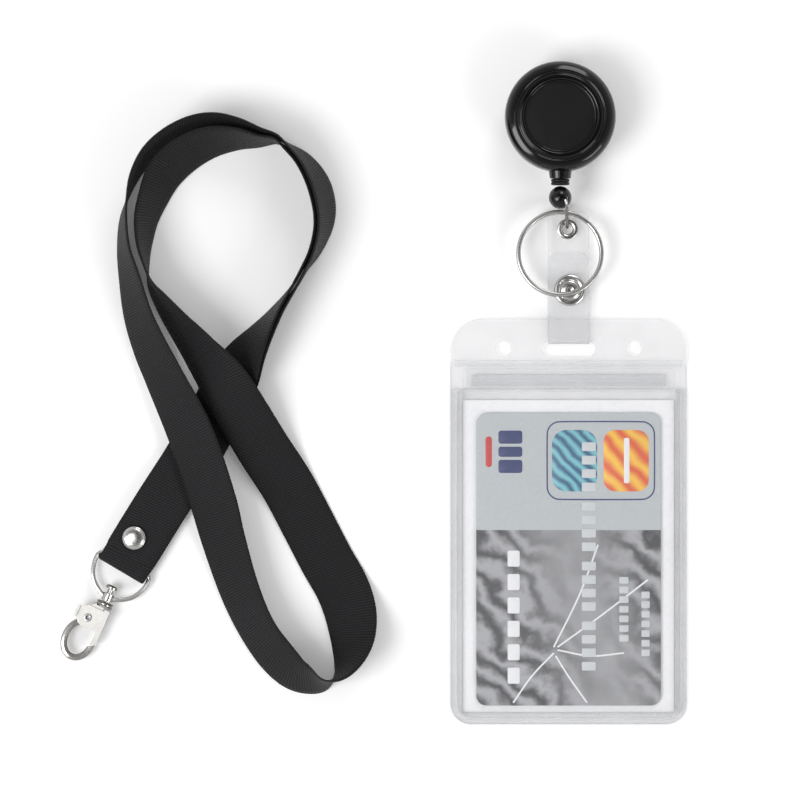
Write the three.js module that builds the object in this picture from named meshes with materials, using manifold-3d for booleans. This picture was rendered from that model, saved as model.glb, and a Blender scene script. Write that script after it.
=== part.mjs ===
// A lanyard badge holder: a doubled webbing lanyard with a riveted swivel hook, and a retracting badge reel
// that carries a split ring, a snap strap and a clear card pocket.
// Millimetres, +Z up, lying on a table at z = 0.
import * as THREE from "three";
import { mergeVertices } from "three/addons/utils/BufferGeometryUtils.js";
import Module from "manifold-3d";

const wasm = await Module();
wasm.setup();

// ---------------------------------------------------------------- driving dimensions
const GAP = 0.3; // clearance between pieces that touch or run in each other

const REEL = { x: 53.9, y: 80.5, back: 6.7, radius: 16.1, seam: 11, height: 9, wall: 1.4, floor: 1.2 };
const FACE = { recess: 10.3, ring: 11.8, groove: 13.1, sink: 1.1 };
const SPOOL = { bore: 3.1, hub: 8, cup: 6.8, flange: 13.2, web: 0.8 };
const POST = { outer: 2.8, bore: 2.3 };
const CORD = { radius: 0.45, bundle: 11.8 };
const GUIDE = { boss: 3.35, bossLength: 1.9, neck: 2.3, bore: 0.75 };
const COLLAR = { radius: 2.7, length: 1.6, ribs: 2, clear: 0.25 };
const BALL = { radius: 3.35, drop: 23.3 };
const CLIP = { width: 9.2, plate: 0.8, nose: 14, thumb: 16.4, ear: 2.5, earWall: 0.7, axle: 0.7 };
const RIVET = { head: 2.4, shank: 1.2, thickness: 0.6 };

// The ring, the strap, the snap and the pocket hang from the ball.
const ballY = REEL.y - BALL.drop;
const LINK = { wire: 0.5, x: 55.9 };
const RING = { x: 54.05, y: ballY - 16, z: 5.0, outer: 12.75, radial: 1.25, turn: 0.95, tilt: 0.05 };
const STRAP = {
  x: 56.65, width: 12, thick: 0.5, top: ballY - 3.6, eyelet: ballY - 8.8, leafEnd: ballY - 15.8, round: 2.2,
};
const STRAP_LEVEL = { eyelet: 1.9, snapFront: 2.85, snapBack: 0.95 }; // heights of the leaves' middles
const FOLD_GAP = 0.45; // half the angle left open between the two leaves, where the snap strap folds
const EYELET = { outer: 3.05, inner: 1.75, lip: 0.35 };
const SNAP = { y: ballY - 26.7, cap: 4.6, stud: 1.5, socket: 3.3, base: 3.6 };

const POCKET = {
  x: 56.65, top: ballY - 35.1, height: 118.6, width: 69, sheet: 0.45, topRound: 9, lowRound: 6, lift: 0.85,
};
const SLOT = { y: POCKET.top - 8.8, width: 15.4, height: 4.7 };
const HOLE = { y: POCKET.top - 8.7, offset: 19.1, radius: 2.2 };
const MOUTH = { lip: POCKET.top - 14.5, weld: 2.8, rise: 2.05 };
const ZIP = { y: POCKET.top - 18, height: 3.4, track: 0.45, rib: 0.5, inset: 3.4 };
const INSERT = { top: POCKET.top - 23.7, width: 61.8, height: 91.3, thick: 0.25 };
const CARD = { top: POCKET.top - 27.5, width: 53.98, height: 85.6, thick: 0.76, round: 3 };

const WEB = { width: 15.6, thick: 0.8, spacing: 1.2 };
const TAIL = { x: -74.4, y: -51.7, angle: -122, width: 15, wrap: 1.35, low: 0.95, back: 15, front: 8 };
const STUD = { x: -70.3, y: -41.9, cap: 3.4, shank: 1.1, peg: 0.7, top: 4.2 };
const LOOP = { wire: 0.65, inner: 15.5, depth: 11, x: -73.0, y: -49.5, angle: -117.5 };
const HOOK = {
  z: 2.75, angle: -113.4, collar: 2.6, stem: 0.8, head: 1.7, hub: 1.65, hubLength: 2.2,
  half: 1, eye: 3.2, pinAlong: 7.6, pinSide: -2.9, pin: 0.75,
};
const CLAW = { along: 14.6, side: -2.9, reach: 5.5, half: 4.1, wire: 1.0 };
const GATE = { inner: 0.75, outer: 2.4, start: 3.5, cheek: 0.5, thumb: -6.6 };
const POWER_SPRING = { turns: 4.5, thick: 0.16, start: 0.75, steps: 72 };
const CLIP_SPRING = { wire: 0.25, turns: 4.5, half: 2.6, bend: 4, leg: 8, steps: 72 };
const GATE_SPRING = { wire: 0.2, turns: 2.2, leg: 2.6, rise: 0.8, low: -1.3, steps: 40 };

// The webbing's way from its lower tail end round the loops and back: x, y, lean of the right-hand edge
// in degrees from lying flat, and the height of its lower edge above the table.
const TAIL_ROUTE = [
  [-71.6, -47.3, 0, 1.9], [-69.7, -44.1, 0, 1.8], [-62.1, -31.8, 0, 1.5], [-54.0, -19.1, 0, 0.4],
  [-47.7, -7.8, 4, 0.1], [-40.7, 5.4, 24, 0.1], [-34.3, 15.7, 60, 0.1], [-28.5, 24.2, 80, 0.1],
  [-23.4, 31.5, 88, 0.1], [-20.3, 37.0, 90, 0.1], [-18.2, 40.3, 94, 0.1], [-16.0, 45.4, 100, 0.1],
  [-14.8, 50.5, 106, 0.1], [-14.9, 55.6, 110, 0.1], [-16.7, 62.0, 110, 0.1], [-20.8, 68.3, 103, 0.1],
  [-25.5, 72.2, 94, 0.1], [-28.7, 74.4, 88, 0.1],
];
const LEGS_ROUTE = [
  [-33.6, 75.9, 80, 0.1], [-39.8, 77.9, 74, 0.1], [-46.6, 78.9, 70, 0.1], [-53.0, 78.0, 70, 0.1],
  [-60.0, 74.9, 73, 0.1], [-65.8, 70.1, 77, 0.1], [-69.9, 63.6, 84, 0.1], [-72.1, 56.9, 93, 0.1],
  [-73.2, 50.8, 100, 0.1], [-73.1, 42.7, 106, 0.1], [-71.3, 33.4, 116, 0.1], [-68.9, 22.8, 125, 0.3],
  [-65.3, 13.3, 133, 1.0], [-61.6, 5.5, 138, 2.2], [-53.6, -11.7, 150, 3.8], [-47.0, -31.3, 152, 3.9],
  [-44.3, -41.7, 147, 2.0], [-39.1, -58.0, 140, 0.1], [-33.9, -69.0, 136, 0.1], [-28.4, -76.6, 137, 0.1],
  [-23.7, -81.1, 132, 0.1], [-19.6, -83.0, 124, 0.1], [-14.9, -84.0, 106, 0.1], [-12.0, -83.0, 90, 0.1],
  [-9.4, -80.7, 74, 0.1], [-7.3, -76.7, 56, 0.1], [-6.3, -71.3, 36, 0.1], [-7.1, -63.7, 14, 0.1],
  [-9.5, -56.7, 2, 0.1], [-14.1, -48.5, 0, 0.1], [-19.6, -37.9, 0, 0.1], [-25.5, -26.8, 0, 0.6],
  [-32.4, -16.0, 3, 2.8], [-37.8, -6.9, 9, 4.8], [-43.9, 3.4, 22, 6.0], [-50.4, 11.7, 44, 3.0],
  [-55.9, 18.7, 58, 0.6], [-62.0, 27.0, 72, 0.1], [-65.4, 32.4, 83, 0.1], [-66.6, 37.6, 92, 0.1],
  [-67.2, 43.9, 103, 0.1], [-66.6, 51.1, 113, 0.1], [-64.8, 56.8, 120, 0.1], [-62.0, 63.2, 128, 0.1],
  [-57.8, 68.0, 130, 0.1], [-52.4, 71.7, 127, 0.1], [-46.9, 73.8, 121, 0.1], [-40.4, 74.5, 111, 0.1],
  [-33.9, 73.9, 100, 0.1],
];

// ---------------------------------------------------------------- materials
function material(color, roughness, metalness, opacity = 1) {
  return new THREE.MeshStandardMaterial({ color, roughness, metalness, opacity, transparent: opacity < 1 });
}
const MATERIALS = {
  nylon: material(0x1c1c1f, 0.85, 0),
  blackPlastic: material(0x0b0b0c, 0.25, 0),
  innerPlastic: material(0x2a2a2c, 0.5, 0),
  nickel: material(0xcfd1d4, 0.22, 1),
  steel: material(0xb9bcc0, 0.35, 1),
  vinyl: material(0xe9ecee, 0.18, 0, 0.45),
  paper: material(0xf6f6f8, 0.8, 0),
  card: material(0xb9bec3, 0.35, 0),
};

const part = new THREE.Group();

// Puts a geometry into the part as a named piece.
function piece(name, geometry, look) {
  const mesh = new THREE.Mesh(geometry, look);
  mesh.name = name;
  part.add(mesh);
  return mesh;
}

// ---------------------------------------------------------------- solids
function solid(geometry) {
  const bare = new THREE.BufferGeometry();
  const source = geometry.index ? geometry.toNonIndexed() : geometry;
  bare.setAttribute("position", source.getAttribute("position"));
  const merged = mergeVertices(bare, 1e-4);
  return new wasm.Manifold(
    new wasm.Mesh({
      numProp: 3,
      vertProperties: merged.attributes.position.array,
      triVerts: new Uint32Array(merged.index.array),
    }),
  );
}

function geometryOf(body) {
  const mesh = body.getMesh();
  const geometry = new THREE.BufferGeometry();
  geometry.setAttribute("position", new THREE.BufferAttribute(new Float32Array(mesh.vertProperties), 3));
  geometry.setIndex(new THREE.BufferAttribute(new Uint32Array(mesh.triVerts), 1));
  return geometry;
}

function join(...geometries) {
  return geometryOf(geometries.map(solid).reduce((whole, next) => whole.add(next)));
}

function cut(geometry, ...tools) {
  return geometryOf(tools.map(solid).reduce((rest, tool) => rest.subtract(tool), solid(geometry)));
}

function meet(a, b) {
  return geometryOf(solid(a).intersect(solid(b)));
}

// ---------------------------------------------------------------- shape makers
function box(x0, x1, y0, y1, z0, z1) {
  const geometry = new THREE.BoxGeometry(x1 - x0, y1 - y0, z1 - z0);
  return geometry.translate((x0 + x1) / 2, (y0 + y1) / 2, (z0 + z1) / 2);
}

// A solid of revolution about Z through (x, y); profile holds [radius, z] pairs, bottom to top.
function turned(profile, x, y, segments = 28) {
  const points = profile.map(([radius, z]) => new THREE.Vector2(radius, z));
  return new THREE.LatheGeometry(points, segments).rotateX(Math.PI / 2).translate(x, y, 0);
}

// A turned washer, tube or disc between two radii and two heights.
function ring(inner, outer, z0, z1, x, y, segments = 28) {
  if (inner <= 0) return turned([[0, z0], [outer, z0], [outer, z1], [0, z1]], x, y, segments);
  return turned([[inner, z0], [outer, z0], [outer, z1], [inner, z1], [inner, z0]], x, y, segments);
}

function plate(shape, z0, z1, curveSegments = 6) {
  const options = { depth: z1 - z0, bevelEnabled: false, curveSegments };
  return new THREE.ExtrudeGeometry(shape, options).translate(0, 0, z0);
}

function roundedRectangle(x0, x1, y0, y1, low, high = low) {
  const shape = new THREE.Shape();
  shape.moveTo(x0 + low, y0);
  shape.lineTo(x1 - low, y0);
  shape.absarc(x1 - low, y0 + low, low, -Math.PI / 2, 0);
  shape.lineTo(x1, y1 - high);
  shape.absarc(x1 - high, y1 - high, high, 0, Math.PI / 2);
  shape.lineTo(x0 + high, y1);
  shape.absarc(x0 + high, y1 - high, high, Math.PI / 2, Math.PI);
  shape.lineTo(x0, y0 + low);
  shape.absarc(x0 + low, y0 + low, low, Math.PI, Math.PI * 1.5);
  return shape;
}

function polygon(points) {
  return new THREE.Shape(points.map(([x, y]) => new THREE.Vector2(x, y)));
}

// A round bar bent along a curve, with flat ends.
function bentBar(points, radius, steps, sides = 12) {
  const places = points.map((p) => new THREE.Vector3(...p));
  const curve = new THREE.CatmullRomCurve3(places, false, "catmullrom", 0.5);
  const section = new THREE.Shape().absarc(0, 0, radius, 0, Math.PI * 2);
  return new THREE.ExtrudeGeometry(section, { steps, extrudePath: curve, curveSegments: sides });
}

// A closed wire: two open lengths of one closed curve that run into each other, joined.
function closedWire(points, radius, steps) {
  const curve = new THREE.CatmullRomCurve3(points.map((p) => new THREE.Vector3(...p)), true, "centripetal");
  const overlap = 0.02;
  const lengths = [[0, 0.5 + overlap], [0.5, 1 + overlap]].map(([from, to]) => {
    const at = (i) => curve.getPointAt((from + ((to - from) * i) / steps) % 1);
    const stations = Array.from({ length: steps + 1 }, (_, i) => at(i));
    return bentBar(stations.map((p) => p.toArray()), radius, steps, 4);
  });
  return join(...lengths);
}

// A bent sheet: its side line runs through [y, z] points and is as thick as asked, across the width in X.
function bentSheet(line, thick, x0, x1) {
  const points = line.map(([y, z]) => new THREE.Vector2(y, z));
  const side = points.map((point, i) => {
    const before = points[Math.max(i - 1, 0)];
    const after = points[Math.min(i + 1, points.length - 1)];
    const into = point.clone().sub(before).normalize();
    const out = after.clone().sub(point).normalize();
    const along = into.add(out).normalize();
    const corner = i > 0 && i < points.length - 1 ? Math.max(along.dot(out), 0.5) : 1;
    return new THREE.Vector2(-along.y, along.x).multiplyScalar(thick / 2 / corner);
  });
  const outline = [
    ...points.map((point, i) => point.clone().add(side[i])).reverse(),
    ...points.map((point, i) => point.clone().sub(side[i])),
  ];
  const options = { depth: x1 - x0, bevelEnabled: false };
  const geometry = new THREE.ExtrudeGeometry(new THREE.Shape(outline), options);
  return geometry.rotateX(Math.PI / 2).rotateZ(Math.PI / 2).translate(x0, 0, 0);
}

// Points on an arc in the [y, z] plane, ends included.
function arc(y, z, radius, from, to, steps) {
  return Array.from({ length: steps + 1 }, (_, i) => {
    const angle = from + ((to - from) * i) / steps;
    return [y + radius * Math.cos(angle), z + radius * Math.sin(angle)];
  });
}

// ---------------------------------------------------------------- badge reel
const reelAt = [REEL.x, REEL.y];
const reelTop = REEL.back + REEL.height;
const innerRadius = REEL.radius - REEL.wall;
const spoolLow = REEL.back + REEL.floor + 0.4;
const faceLevel = reelTop - FACE.sink;
const spoolHigh = faceLevel - REEL.floor - GAP;
const cordZ = (spoolLow + spoolHigh) / 2;
const guideFront = REEL.y - REEL.radius - GUIDE.bossLength + 0.2;

function alongY(geometry, x, y, z) {
  return geometry.rotateX(Math.PI / 2).translate(x, y, z);
}

// Room in both covers for the cord guide.
function guideCut() {
  const reach = 6;
  const neck = new THREE.CylinderGeometry(GUIDE.neck + 0.2, GUIDE.neck + 0.2, reach, 24);
  const boss = new THREE.CylinderGeometry(GUIDE.boss + 0.2, GUIDE.boss + 0.2, reach, 24);
  const neckRoom = neck.translate(REEL.x, REEL.y - innerRadius, cordZ);
  const bossRoom = boss.translate(REEL.x, REEL.y - REEL.radius + 0.7 - reach / 2, cordZ);
  return join(neckRoom, bossRoom);
}

function reelBackCover() {
  const edge = 1;
  const floor = REEL.back + REEL.floor;
  const shell = turned([
    [RIVET.shank + GAP, REEL.back], [REEL.radius - edge, REEL.back],
    [REEL.radius - edge * 0.3, REEL.back + edge * 0.3], [REEL.radius, REEL.back + edge],
    [REEL.radius, REEL.seam - 0.1], [innerRadius, REEL.seam - 0.1],
    [innerRadius, floor], [RIVET.shank + GAP, floor], [RIVET.shank + GAP, REEL.back],
  ], ...reelAt, 40);
  return piece("reel_back_cover", cut(shell, guideCut()), MATERIALS.blackPlastic);
}

function reelFrontCover() {
  const under = faceLevel - REEL.floor;
  const shoulder = reelTop - 0.2;
  const shell = turned([
    [0, under], [innerRadius, under], [innerRadius, REEL.seam + 0.1], [REEL.radius, REEL.seam + 0.1],
    [REEL.radius, REEL.seam + 1.2], [REEL.radius - 0.35, REEL.seam + 2.5],
    [REEL.radius - 1.1, shoulder - 0.7],
    [REEL.radius - 2, shoulder - 0.2], [FACE.groove, shoulder], [FACE.groove - 0.2, shoulder - 0.2],
    [FACE.groove - 0.5, shoulder - 0.2], [FACE.groove - 0.7, shoulder + 0.05],
    [FACE.ring, reelTop - 0.15], [(FACE.ring + FACE.recess) / 2, reelTop],
    [FACE.recess + 0.2, reelTop - 0.35],
    [FACE.recess, faceLevel], [0, faceLevel],
  ], ...reelAt, 40);
  return piece("reel_front_cover", cut(shell, guideCut()), MATERIALS.blackPlastic);
}

function cordGuide() {
  const inner = REEL.y - innerRadius + 0.7;
  const neckLength = inner - guideFront;
  const neck = new THREE.CylinderGeometry(GUIDE.neck, GUIDE.neck, neckLength, 24);
  const bossLength = REEL.y - REEL.radius + 0.5 - guideFront;
  const boss = new THREE.CylinderGeometry(GUIDE.boss, GUIDE.boss - 0.3, bossLength, 24);
  const bore = new THREE.CylinderGeometry(GUIDE.bore, GUIDE.bore, neckLength + 4, 24);
  const body = join(
    neck.translate(REEL.x, guideFront + neckLength / 2, cordZ),
    boss.translate(REEL.x, guideFront + bossLength / 2, cordZ),
  );
  const drilled = cut(body, bore.translate(REEL.x, guideFront + neckLength / 2, cordZ));
  return piece("cord_guide", drilled, MATERIALS.blackPlastic);
}

function spoolPost() {
  const low = REEL.back + REEL.floor + 0.05;
  const high = faceLevel - REEL.floor - 0.05;
  return piece("spool_post", ring(POST.bore, POST.outer, low, high, ...reelAt), MATERIALS.innerPlastic);
}

function cordSpool() {
  const top = spoolHigh;
  const body = turned([
    [SPOOL.bore, spoolLow], [SPOOL.flange, spoolLow], [SPOOL.flange, spoolLow + SPOOL.web],
    [SPOOL.hub, spoolLow + SPOOL.web], [SPOOL.hub, top - SPOOL.web], [SPOOL.flange, top - SPOOL.web],
    [SPOOL.flange, top], [SPOOL.cup, top], [SPOOL.cup, spoolLow + SPOOL.web],
    [SPOOL.bore, spoolLow + SPOOL.web], [SPOOL.bore, spoolLow],
  ], ...reelAt, 28);
  return piece("cord_spool", body, MATERIALS.innerPlastic);
}

function woundCord() {
  const low = spoolLow + SPOOL.web + GAP;
  const high = spoolHigh - SPOOL.web - GAP;
  const beads = Math.round((high - low) / (2 * CORD.radius));
  const pitch = (high - low) / beads;
  const profile = [[SPOOL.hub + GAP, low]];
  for (let i = 0; i < beads; i += 1) {
    profile.push([CORD.bundle - 0.25, low + i * pitch], [CORD.bundle, low + (i + 0.5) * pitch]);
  }
  profile.push([CORD.bundle - 0.25, high], [SPOOL.hub + GAP, high], [SPOOL.hub + GAP, low]);
  return piece("wound_cord", turned(profile, ...reelAt, 28), MATERIALS.nylon);
}

function powerSpring() {
  const { turns, steps, thick } = POWER_SPRING;
  const from = POST.outer + POWER_SPRING.start;
  const to = SPOOL.cup - GAP;
  const edge = (offset) =>
    Array.from({ length: steps + 1 }, (_, i) => {
      const angle = (i / steps) * turns * Math.PI * 2;
      const radius = from + (to - from) * (i / steps) + offset;
      return [REEL.x + radius * Math.cos(angle), REEL.y + radius * Math.sin(angle)];
    });
  const outline = [...edge(0), ...edge(-thick).reverse()];
  const strip = plate(polygon(outline), spoolLow + SPOOL.web + GAP, spoolHigh - GAP);
  return piece("power_spring", strip, MATERIALS.steel);
}

// ---------------------------------------------------------------- swivel clip behind the reel
const clipTop = REEL.back - GAP; // outer face of the base jaw plate
const leverTop = CLIP.plate;
const jawLow = clipTop - CLIP.plate;
const axleZ = (jawLow + leverTop) / 2;
const axleY = REEL.y + 1;

function ears(inner, outer, z0, z1) {
  return [-1, 1].map((side) => {
    const near = REEL.x + side * inner;
    const far = REEL.x + side * outer;
    return box(Math.min(near, far), Math.max(near, far), axleY - CLIP.ear, axleY + CLIP.ear, z0, z1);
  });
}

function axleRoom(radius) {
  const length = 3 * CLIP.width;
  const bar = new THREE.CylinderGeometry(radius, radius, length, 24).rotateZ(Math.PI / 2);
  return bar.translate(REEL.x, axleY, axleZ);
}

// A row of gripping teeth along X, on a wall that is one plate thick.
function toothedNose(z0, z1, up) {
  const teeth = 5;
  const half = CLIP.width / 2;
  const pitch = CLIP.width / teeth;
  const tooth = 0.5;
  const [flat, edge] = up ? [z0, z1] : [z1, z0];
  const points = [[-half, flat], [half, flat]];
  for (let i = teeth; i > 0; i -= 1) {
    const root = edge + (up ? -tooth : tooth);
    points.push([-half + i * pitch, root], [-half + (i - 0.5) * pitch, edge]);
  }
  points.push([-half, edge + (up ? -tooth : tooth)]);
  const outline = polygon(up ? points : points.reverse());
  const wall = new THREE.ExtrudeGeometry(outline, { depth: CLIP.plate, bevelEnabled: false });
  return wall.rotateX(Math.PI / 2).translate(REEL.x, REEL.y - CLIP.nose + CLIP.plate, 0);
}

function clipPlate(z0, z1, end) {
  const half = CLIP.width / 2;
  const outline = roundedRectangle(REEL.x - half, REEL.x + half, REEL.y - CLIP.nose, REEL.y + end, 0.4, 3);
  return plate(outline, z0, z1);
}

function clipBaseJaw() {
  const earInner = CLIP.width / 2 + GAP;
  const earOuter = earInner + CLIP.earWall;
  const bridge = box(
    REEL.x - earOuter, REEL.x + earOuter, axleY - CLIP.ear, axleY + CLIP.ear, jawLow, clipTop,
  );
  const body = join(
    clipPlate(jawLow, clipTop, CLIP.thumb - 2),
    bridge,
    ...ears(earInner, earOuter, axleZ - 1.6, clipTop),
    toothedNose(axleZ + 0.15, jawLow + 0.1, false),
  );
  const roomRadius = RIVET.shank + GAP;
  const rivetRoom = new THREE.CylinderGeometry(roomRadius, roomRadius, 4, 32).rotateX(Math.PI / 2);
  const made = cut(body, axleRoom(CLIP.axle + GAP / 2), rivetRoom.translate(...reelAt, clipTop));
  return piece("clip_base_jaw", made, MATERIALS.nickel);
}

function clipLeverJaw() {
  const outer = CLIP.width / 2;
  const body = join(
    clipPlate(0, leverTop, CLIP.thumb),
    ...ears(outer - CLIP.earWall, outer, leverTop - 0.1, axleZ + 1.5),
    toothedNose(leverTop - 0.1, axleZ - 0.15, true),
  );
  return piece("clip_lever_jaw", cut(body, axleRoom(CLIP.axle + GAP / 2)), MATERIALS.nickel);
}

function clipAxle() {
  const half = CLIP.width / 2 + GAP + CLIP.earWall + 0.15;
  const shank = new THREE.CylinderGeometry(CLIP.axle, CLIP.axle, half * 2 + 0.4, 24).rotateZ(Math.PI / 2);
  const heads = [-1, 1].map((side) => {
    const head = new THREE.CylinderGeometry(CLIP.axle + 0.4, CLIP.axle + 0.4, 0.5, 24).rotateZ(Math.PI / 2);
    return head.translate(REEL.x + side * (half + 0.25), axleY, axleZ);
  });
  return piece("clip_axle", join(shank.translate(REEL.x, axleY, axleZ), ...heads), MATERIALS.steel);
}

// A torsion coil round the axle; its two legs press the thumb ends apart.
function clipSpring() {
  const { wire, turns, half, bend, leg, steps } = CLIP_SPRING;
  const coil = CLIP.axle + wire + 0.2;
  const points = [];
  points.push([REEL.x - half, axleY + leg, jawLow - wire - 0.15]);
  points.push([REEL.x - half, axleY + bend, axleZ + coil + 0.1]);
  for (let i = 0; i <= steps; i += 1) {
    const angle = Math.PI / 2 + (i / steps) * turns * Math.PI * 2;
    const x = REEL.x - half + (2 * half * i) / steps;
    points.push([x, axleY - coil * Math.cos(angle), axleZ + coil * Math.sin(angle)]);
  }
  points.push([REEL.x + half, axleY + bend, axleZ - coil - 0.1]);
  points.push([REEL.x + half, axleY + leg, leverTop + wire + 0.15]);
  return piece("clip_spring", bentBar(points, wire, steps + 6, 3), MATERIALS.steel);
}

function clipRivet() {
  const low = jawLow - GAP - RIVET.thickness;
  const high = REEL.back + REEL.floor + GAP / 2;
  const inside = Math.min(RIVET.head, POST.bore - 0.15);
  const body = turned([
    [0, low], [RIVET.head - 0.3, low], [RIVET.head, low + 0.3], [RIVET.head, jawLow - 0.15],
    [RIVET.shank, jawLow - 0.15], [RIVET.shank, high], [inside, high], [inside, high + 0.4], [0, high + 0.4],
  ], ...reelAt);
  return piece("clip_swivel_rivet", body, MATERIALS.nickel);
}

// ---------------------------------------------------------------- cord end

function pullCord() {
  const inner = REEL.y - innerRadius + 0.4;
  const outer = ballY + BALL.radius + 0.5;
  const body = new THREE.CylinderGeometry(CORD.radius, CORD.radius, inner - outer, 16);
  return piece("pull_cord", body.translate(REEL.x, (inner + outer) / 2, cordZ), MATERIALS.nylon);
}

function cordCollar() {
  const bottom = ballY + BALL.radius + COLLAR.clear;
  const top = bottom + COLLAR.length;
  const rib = COLLAR.length / COLLAR.ribs;
  const profile = [[CORD.radius + 0.15, bottom]];
  for (let i = 0; i < COLLAR.ribs; i += 1) {
    const start = bottom + i * rib;
    profile.push([COLLAR.radius - 0.35, start], [COLLAR.radius, start + rib * 0.3]);
    profile.push([COLLAR.radius, start + rib * 0.7], [COLLAR.radius - 0.35, start + rib * 0.98]);
  }
  profile.push([CORD.radius + 0.15, top], [CORD.radius + 0.15, bottom]);
  const sleeve = turned(profile, 0, 0, 20).rotateX(-Math.PI / 2);
  return piece("cord_collar", sleeve.translate(REEL.x, 0, cordZ), MATERIALS.blackPlastic);
}

// The wire link's line: through the ball, over the split ring, down through the eyelet
// and back below the strap.
const strapZ = STRAP_LEVEL.eyelet;
function linkPoints() {
  const low = strapZ - STRAP.thick / 2 - EYELET.lip - LINK.wire - 0.1;
  const eye = STRAP.eyelet + 0.6;
  return [
    [LINK.x - 0.5, ballY - 1.1, cordZ + BALL.radius + LINK.wire + 0.1],
    [LINK.x - 0.2, ballY - 3.3, cordZ + 1.2],
    [LINK.x + 0.1, eye + 1.3, strapZ + 3.6],
    [LINK.x + 0.3, eye, strapZ + 1.2],
    [LINK.x + 0.4, eye, strapZ - 0.6],
    [LINK.x + 0.4, eye + 1.2, low],
    [LINK.x + 0.3, STRAP.top - 0.8, low],
    [LINK.x, STRAP.top + 1.2, strapZ + 0.2],
    [LINK.x - 0.4, ballY - 0.9, cordZ - BALL.radius - 0.2],
    [LINK.x - 0.6, ballY - 0.3, cordZ - 1.2],
    [LINK.x - 0.6, ballY - 0.2, cordZ + 1.8],
  ];
}

function stopBall() {
  const ball = new THREE.SphereGeometry(BALL.radius, 22, 14).rotateX(Math.PI / 2);
  const room = closedWire(linkPoints(), LINK.wire + 0.25, 20);
  return piece("stop_ball", cut(ball.translate(REEL.x, ballY, cordZ), room), MATERIALS.blackPlastic);
}

function connectingLink() {
  return piece("connecting_link", closedWire(linkPoints(), LINK.wire, 22), MATERIALS.nickel);
}

// Two flat turns of spring wire, one above the other, that step across each other near the ends.
function splitRing() {
  const turns = 1.92;
  const steps = 64;
  const middle = RING.outer - RING.radial / 2;
  const half = RING.radial / 2;
  const flat = RING.turn / 2 - 0.05;
  const start = Math.PI * 0.42;
  const level = (angle) => {
    const turn = angle / (Math.PI * 2);
    const step = THREE.MathUtils.smoothstep(turn, 0.86, 1.06);
    return (step - 0.5) * (RING.turn + 0.15);
  };
  const position = [];
  const index = [];
  const corners = [[-half, -flat], [half, -flat], [half, flat], [-half, flat]];
  for (let i = 0; i <= steps; i += 1) {
    const angle = (i / steps) * turns * Math.PI * 2;
    for (const [out, up] of corners) {
      const radius = middle + out;
      position.push(radius * Math.cos(start + angle), radius * Math.sin(start + angle), level(angle) + up);
    }
  }
  for (let i = 0; i < steps; i += 1) {
    for (let c = 0; c < 4; c += 1) {
      const a = i * 4 + c;
      const b = i * 4 + ((c + 1) % 4);
      index.push(a, a + 4, b, b, a + 4, b + 4);
    }
  }
  const last = steps * 4;
  index.push(0, 1, 2, 0, 2, 3, last, last + 2, last + 1, last, last + 3, last + 2);
  const geometry = new THREE.BufferGeometry();
  geometry.setAttribute("position", new THREE.Float32BufferAttribute(position, 3));
  geometry.setIndex(index);
  geometry.rotateX(-RING.tilt).translate(RING.x, RING.y, RING.z);
  return piece("split_ring", geometry, MATERIALS.nickel);
}

// ---------------------------------------------------------------- snap strap
const strapLeft = STRAP.x - STRAP.width / 2;
const strapRight = STRAP.x + STRAP.width / 2;
const foldY = SLOT.y + SLOT.height / 2 - 0.75;
const strapLow = foldY - 5; // below the whole strap
const overPocket = POCKET.lift + POCKET.sheet + GAP + STRAP.thick / 2;
const underPocket = POCKET.lift - 0.25 - STRAP.thick / 2;
const foldRadius = (overPocket - underPocket) / 2;
const foldZ = (overPocket + underPocket) / 2;
const frontLeafZ = STRAP_LEVEL.snapFront;
const backLeafZ = STRAP_LEVEL.snapBack;

function frontLeaf() {
  const bendY = foldY + foldRadius;
  const line = [
    [STRAP.top, strapZ], [STRAP.leafEnd + 1.6, strapZ],
    [SNAP.y + SNAP.cap + 1, frontLeafZ], [SNAP.y - SNAP.cap - 0.6, frontLeafZ],
    [POCKET.top + 0.4, overPocket + 0.25], [POCKET.top - 2, overPocket],
    ...arc(bendY, foldZ, foldRadius, Math.PI / 2, Math.PI - FOLD_GAP, 6),
  ];
  const sheet = bentSheet(line, STRAP.thick, strapLeft, strapRight);
  const shape = roundedRectangle(strapLeft, strapRight, strapLow, STRAP.top, 0.05, STRAP.round);
  const outline = plate(shape, -5, 12);
  const eye = ring(0, EYELET.inner + 0.25, -5, 12, STRAP.x - 0.3, STRAP.eyelet, 32);
  const snapRoom = ring(0, SNAP.stud + GAP, -5, 12, STRAP.x + 0.3, SNAP.y, 24);
  return piece("strap_front_leaf", cut(meet(sheet, outline), eye, snapRoom), MATERIALS.vinyl);
}

function backLeaf() {
  const bendY = foldY + foldRadius;
  const line = [
    ...arc(bendY, foldZ, foldRadius, Math.PI + FOLD_GAP, Math.PI * 1.5, 6),
    [POCKET.top + 0.6, underPocket], [SNAP.y - SNAP.cap, backLeafZ], [STRAP.leafEnd, backLeafZ],
  ];
  const sheet = bentSheet(line, STRAP.thick, strapLeft, strapRight);
  const shape = roundedRectangle(strapLeft, strapRight, strapLow, STRAP.leafEnd, 0.05, STRAP.round);
  const outline = plate(shape, -5, 12);
  const postRoom = ring(0, 1.0, -5, 12, STRAP.x + 0.3, SNAP.y, 24);
  return piece("strap_back_leaf", cut(meet(sheet, outline), postRoom), MATERIALS.vinyl);
}

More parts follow.
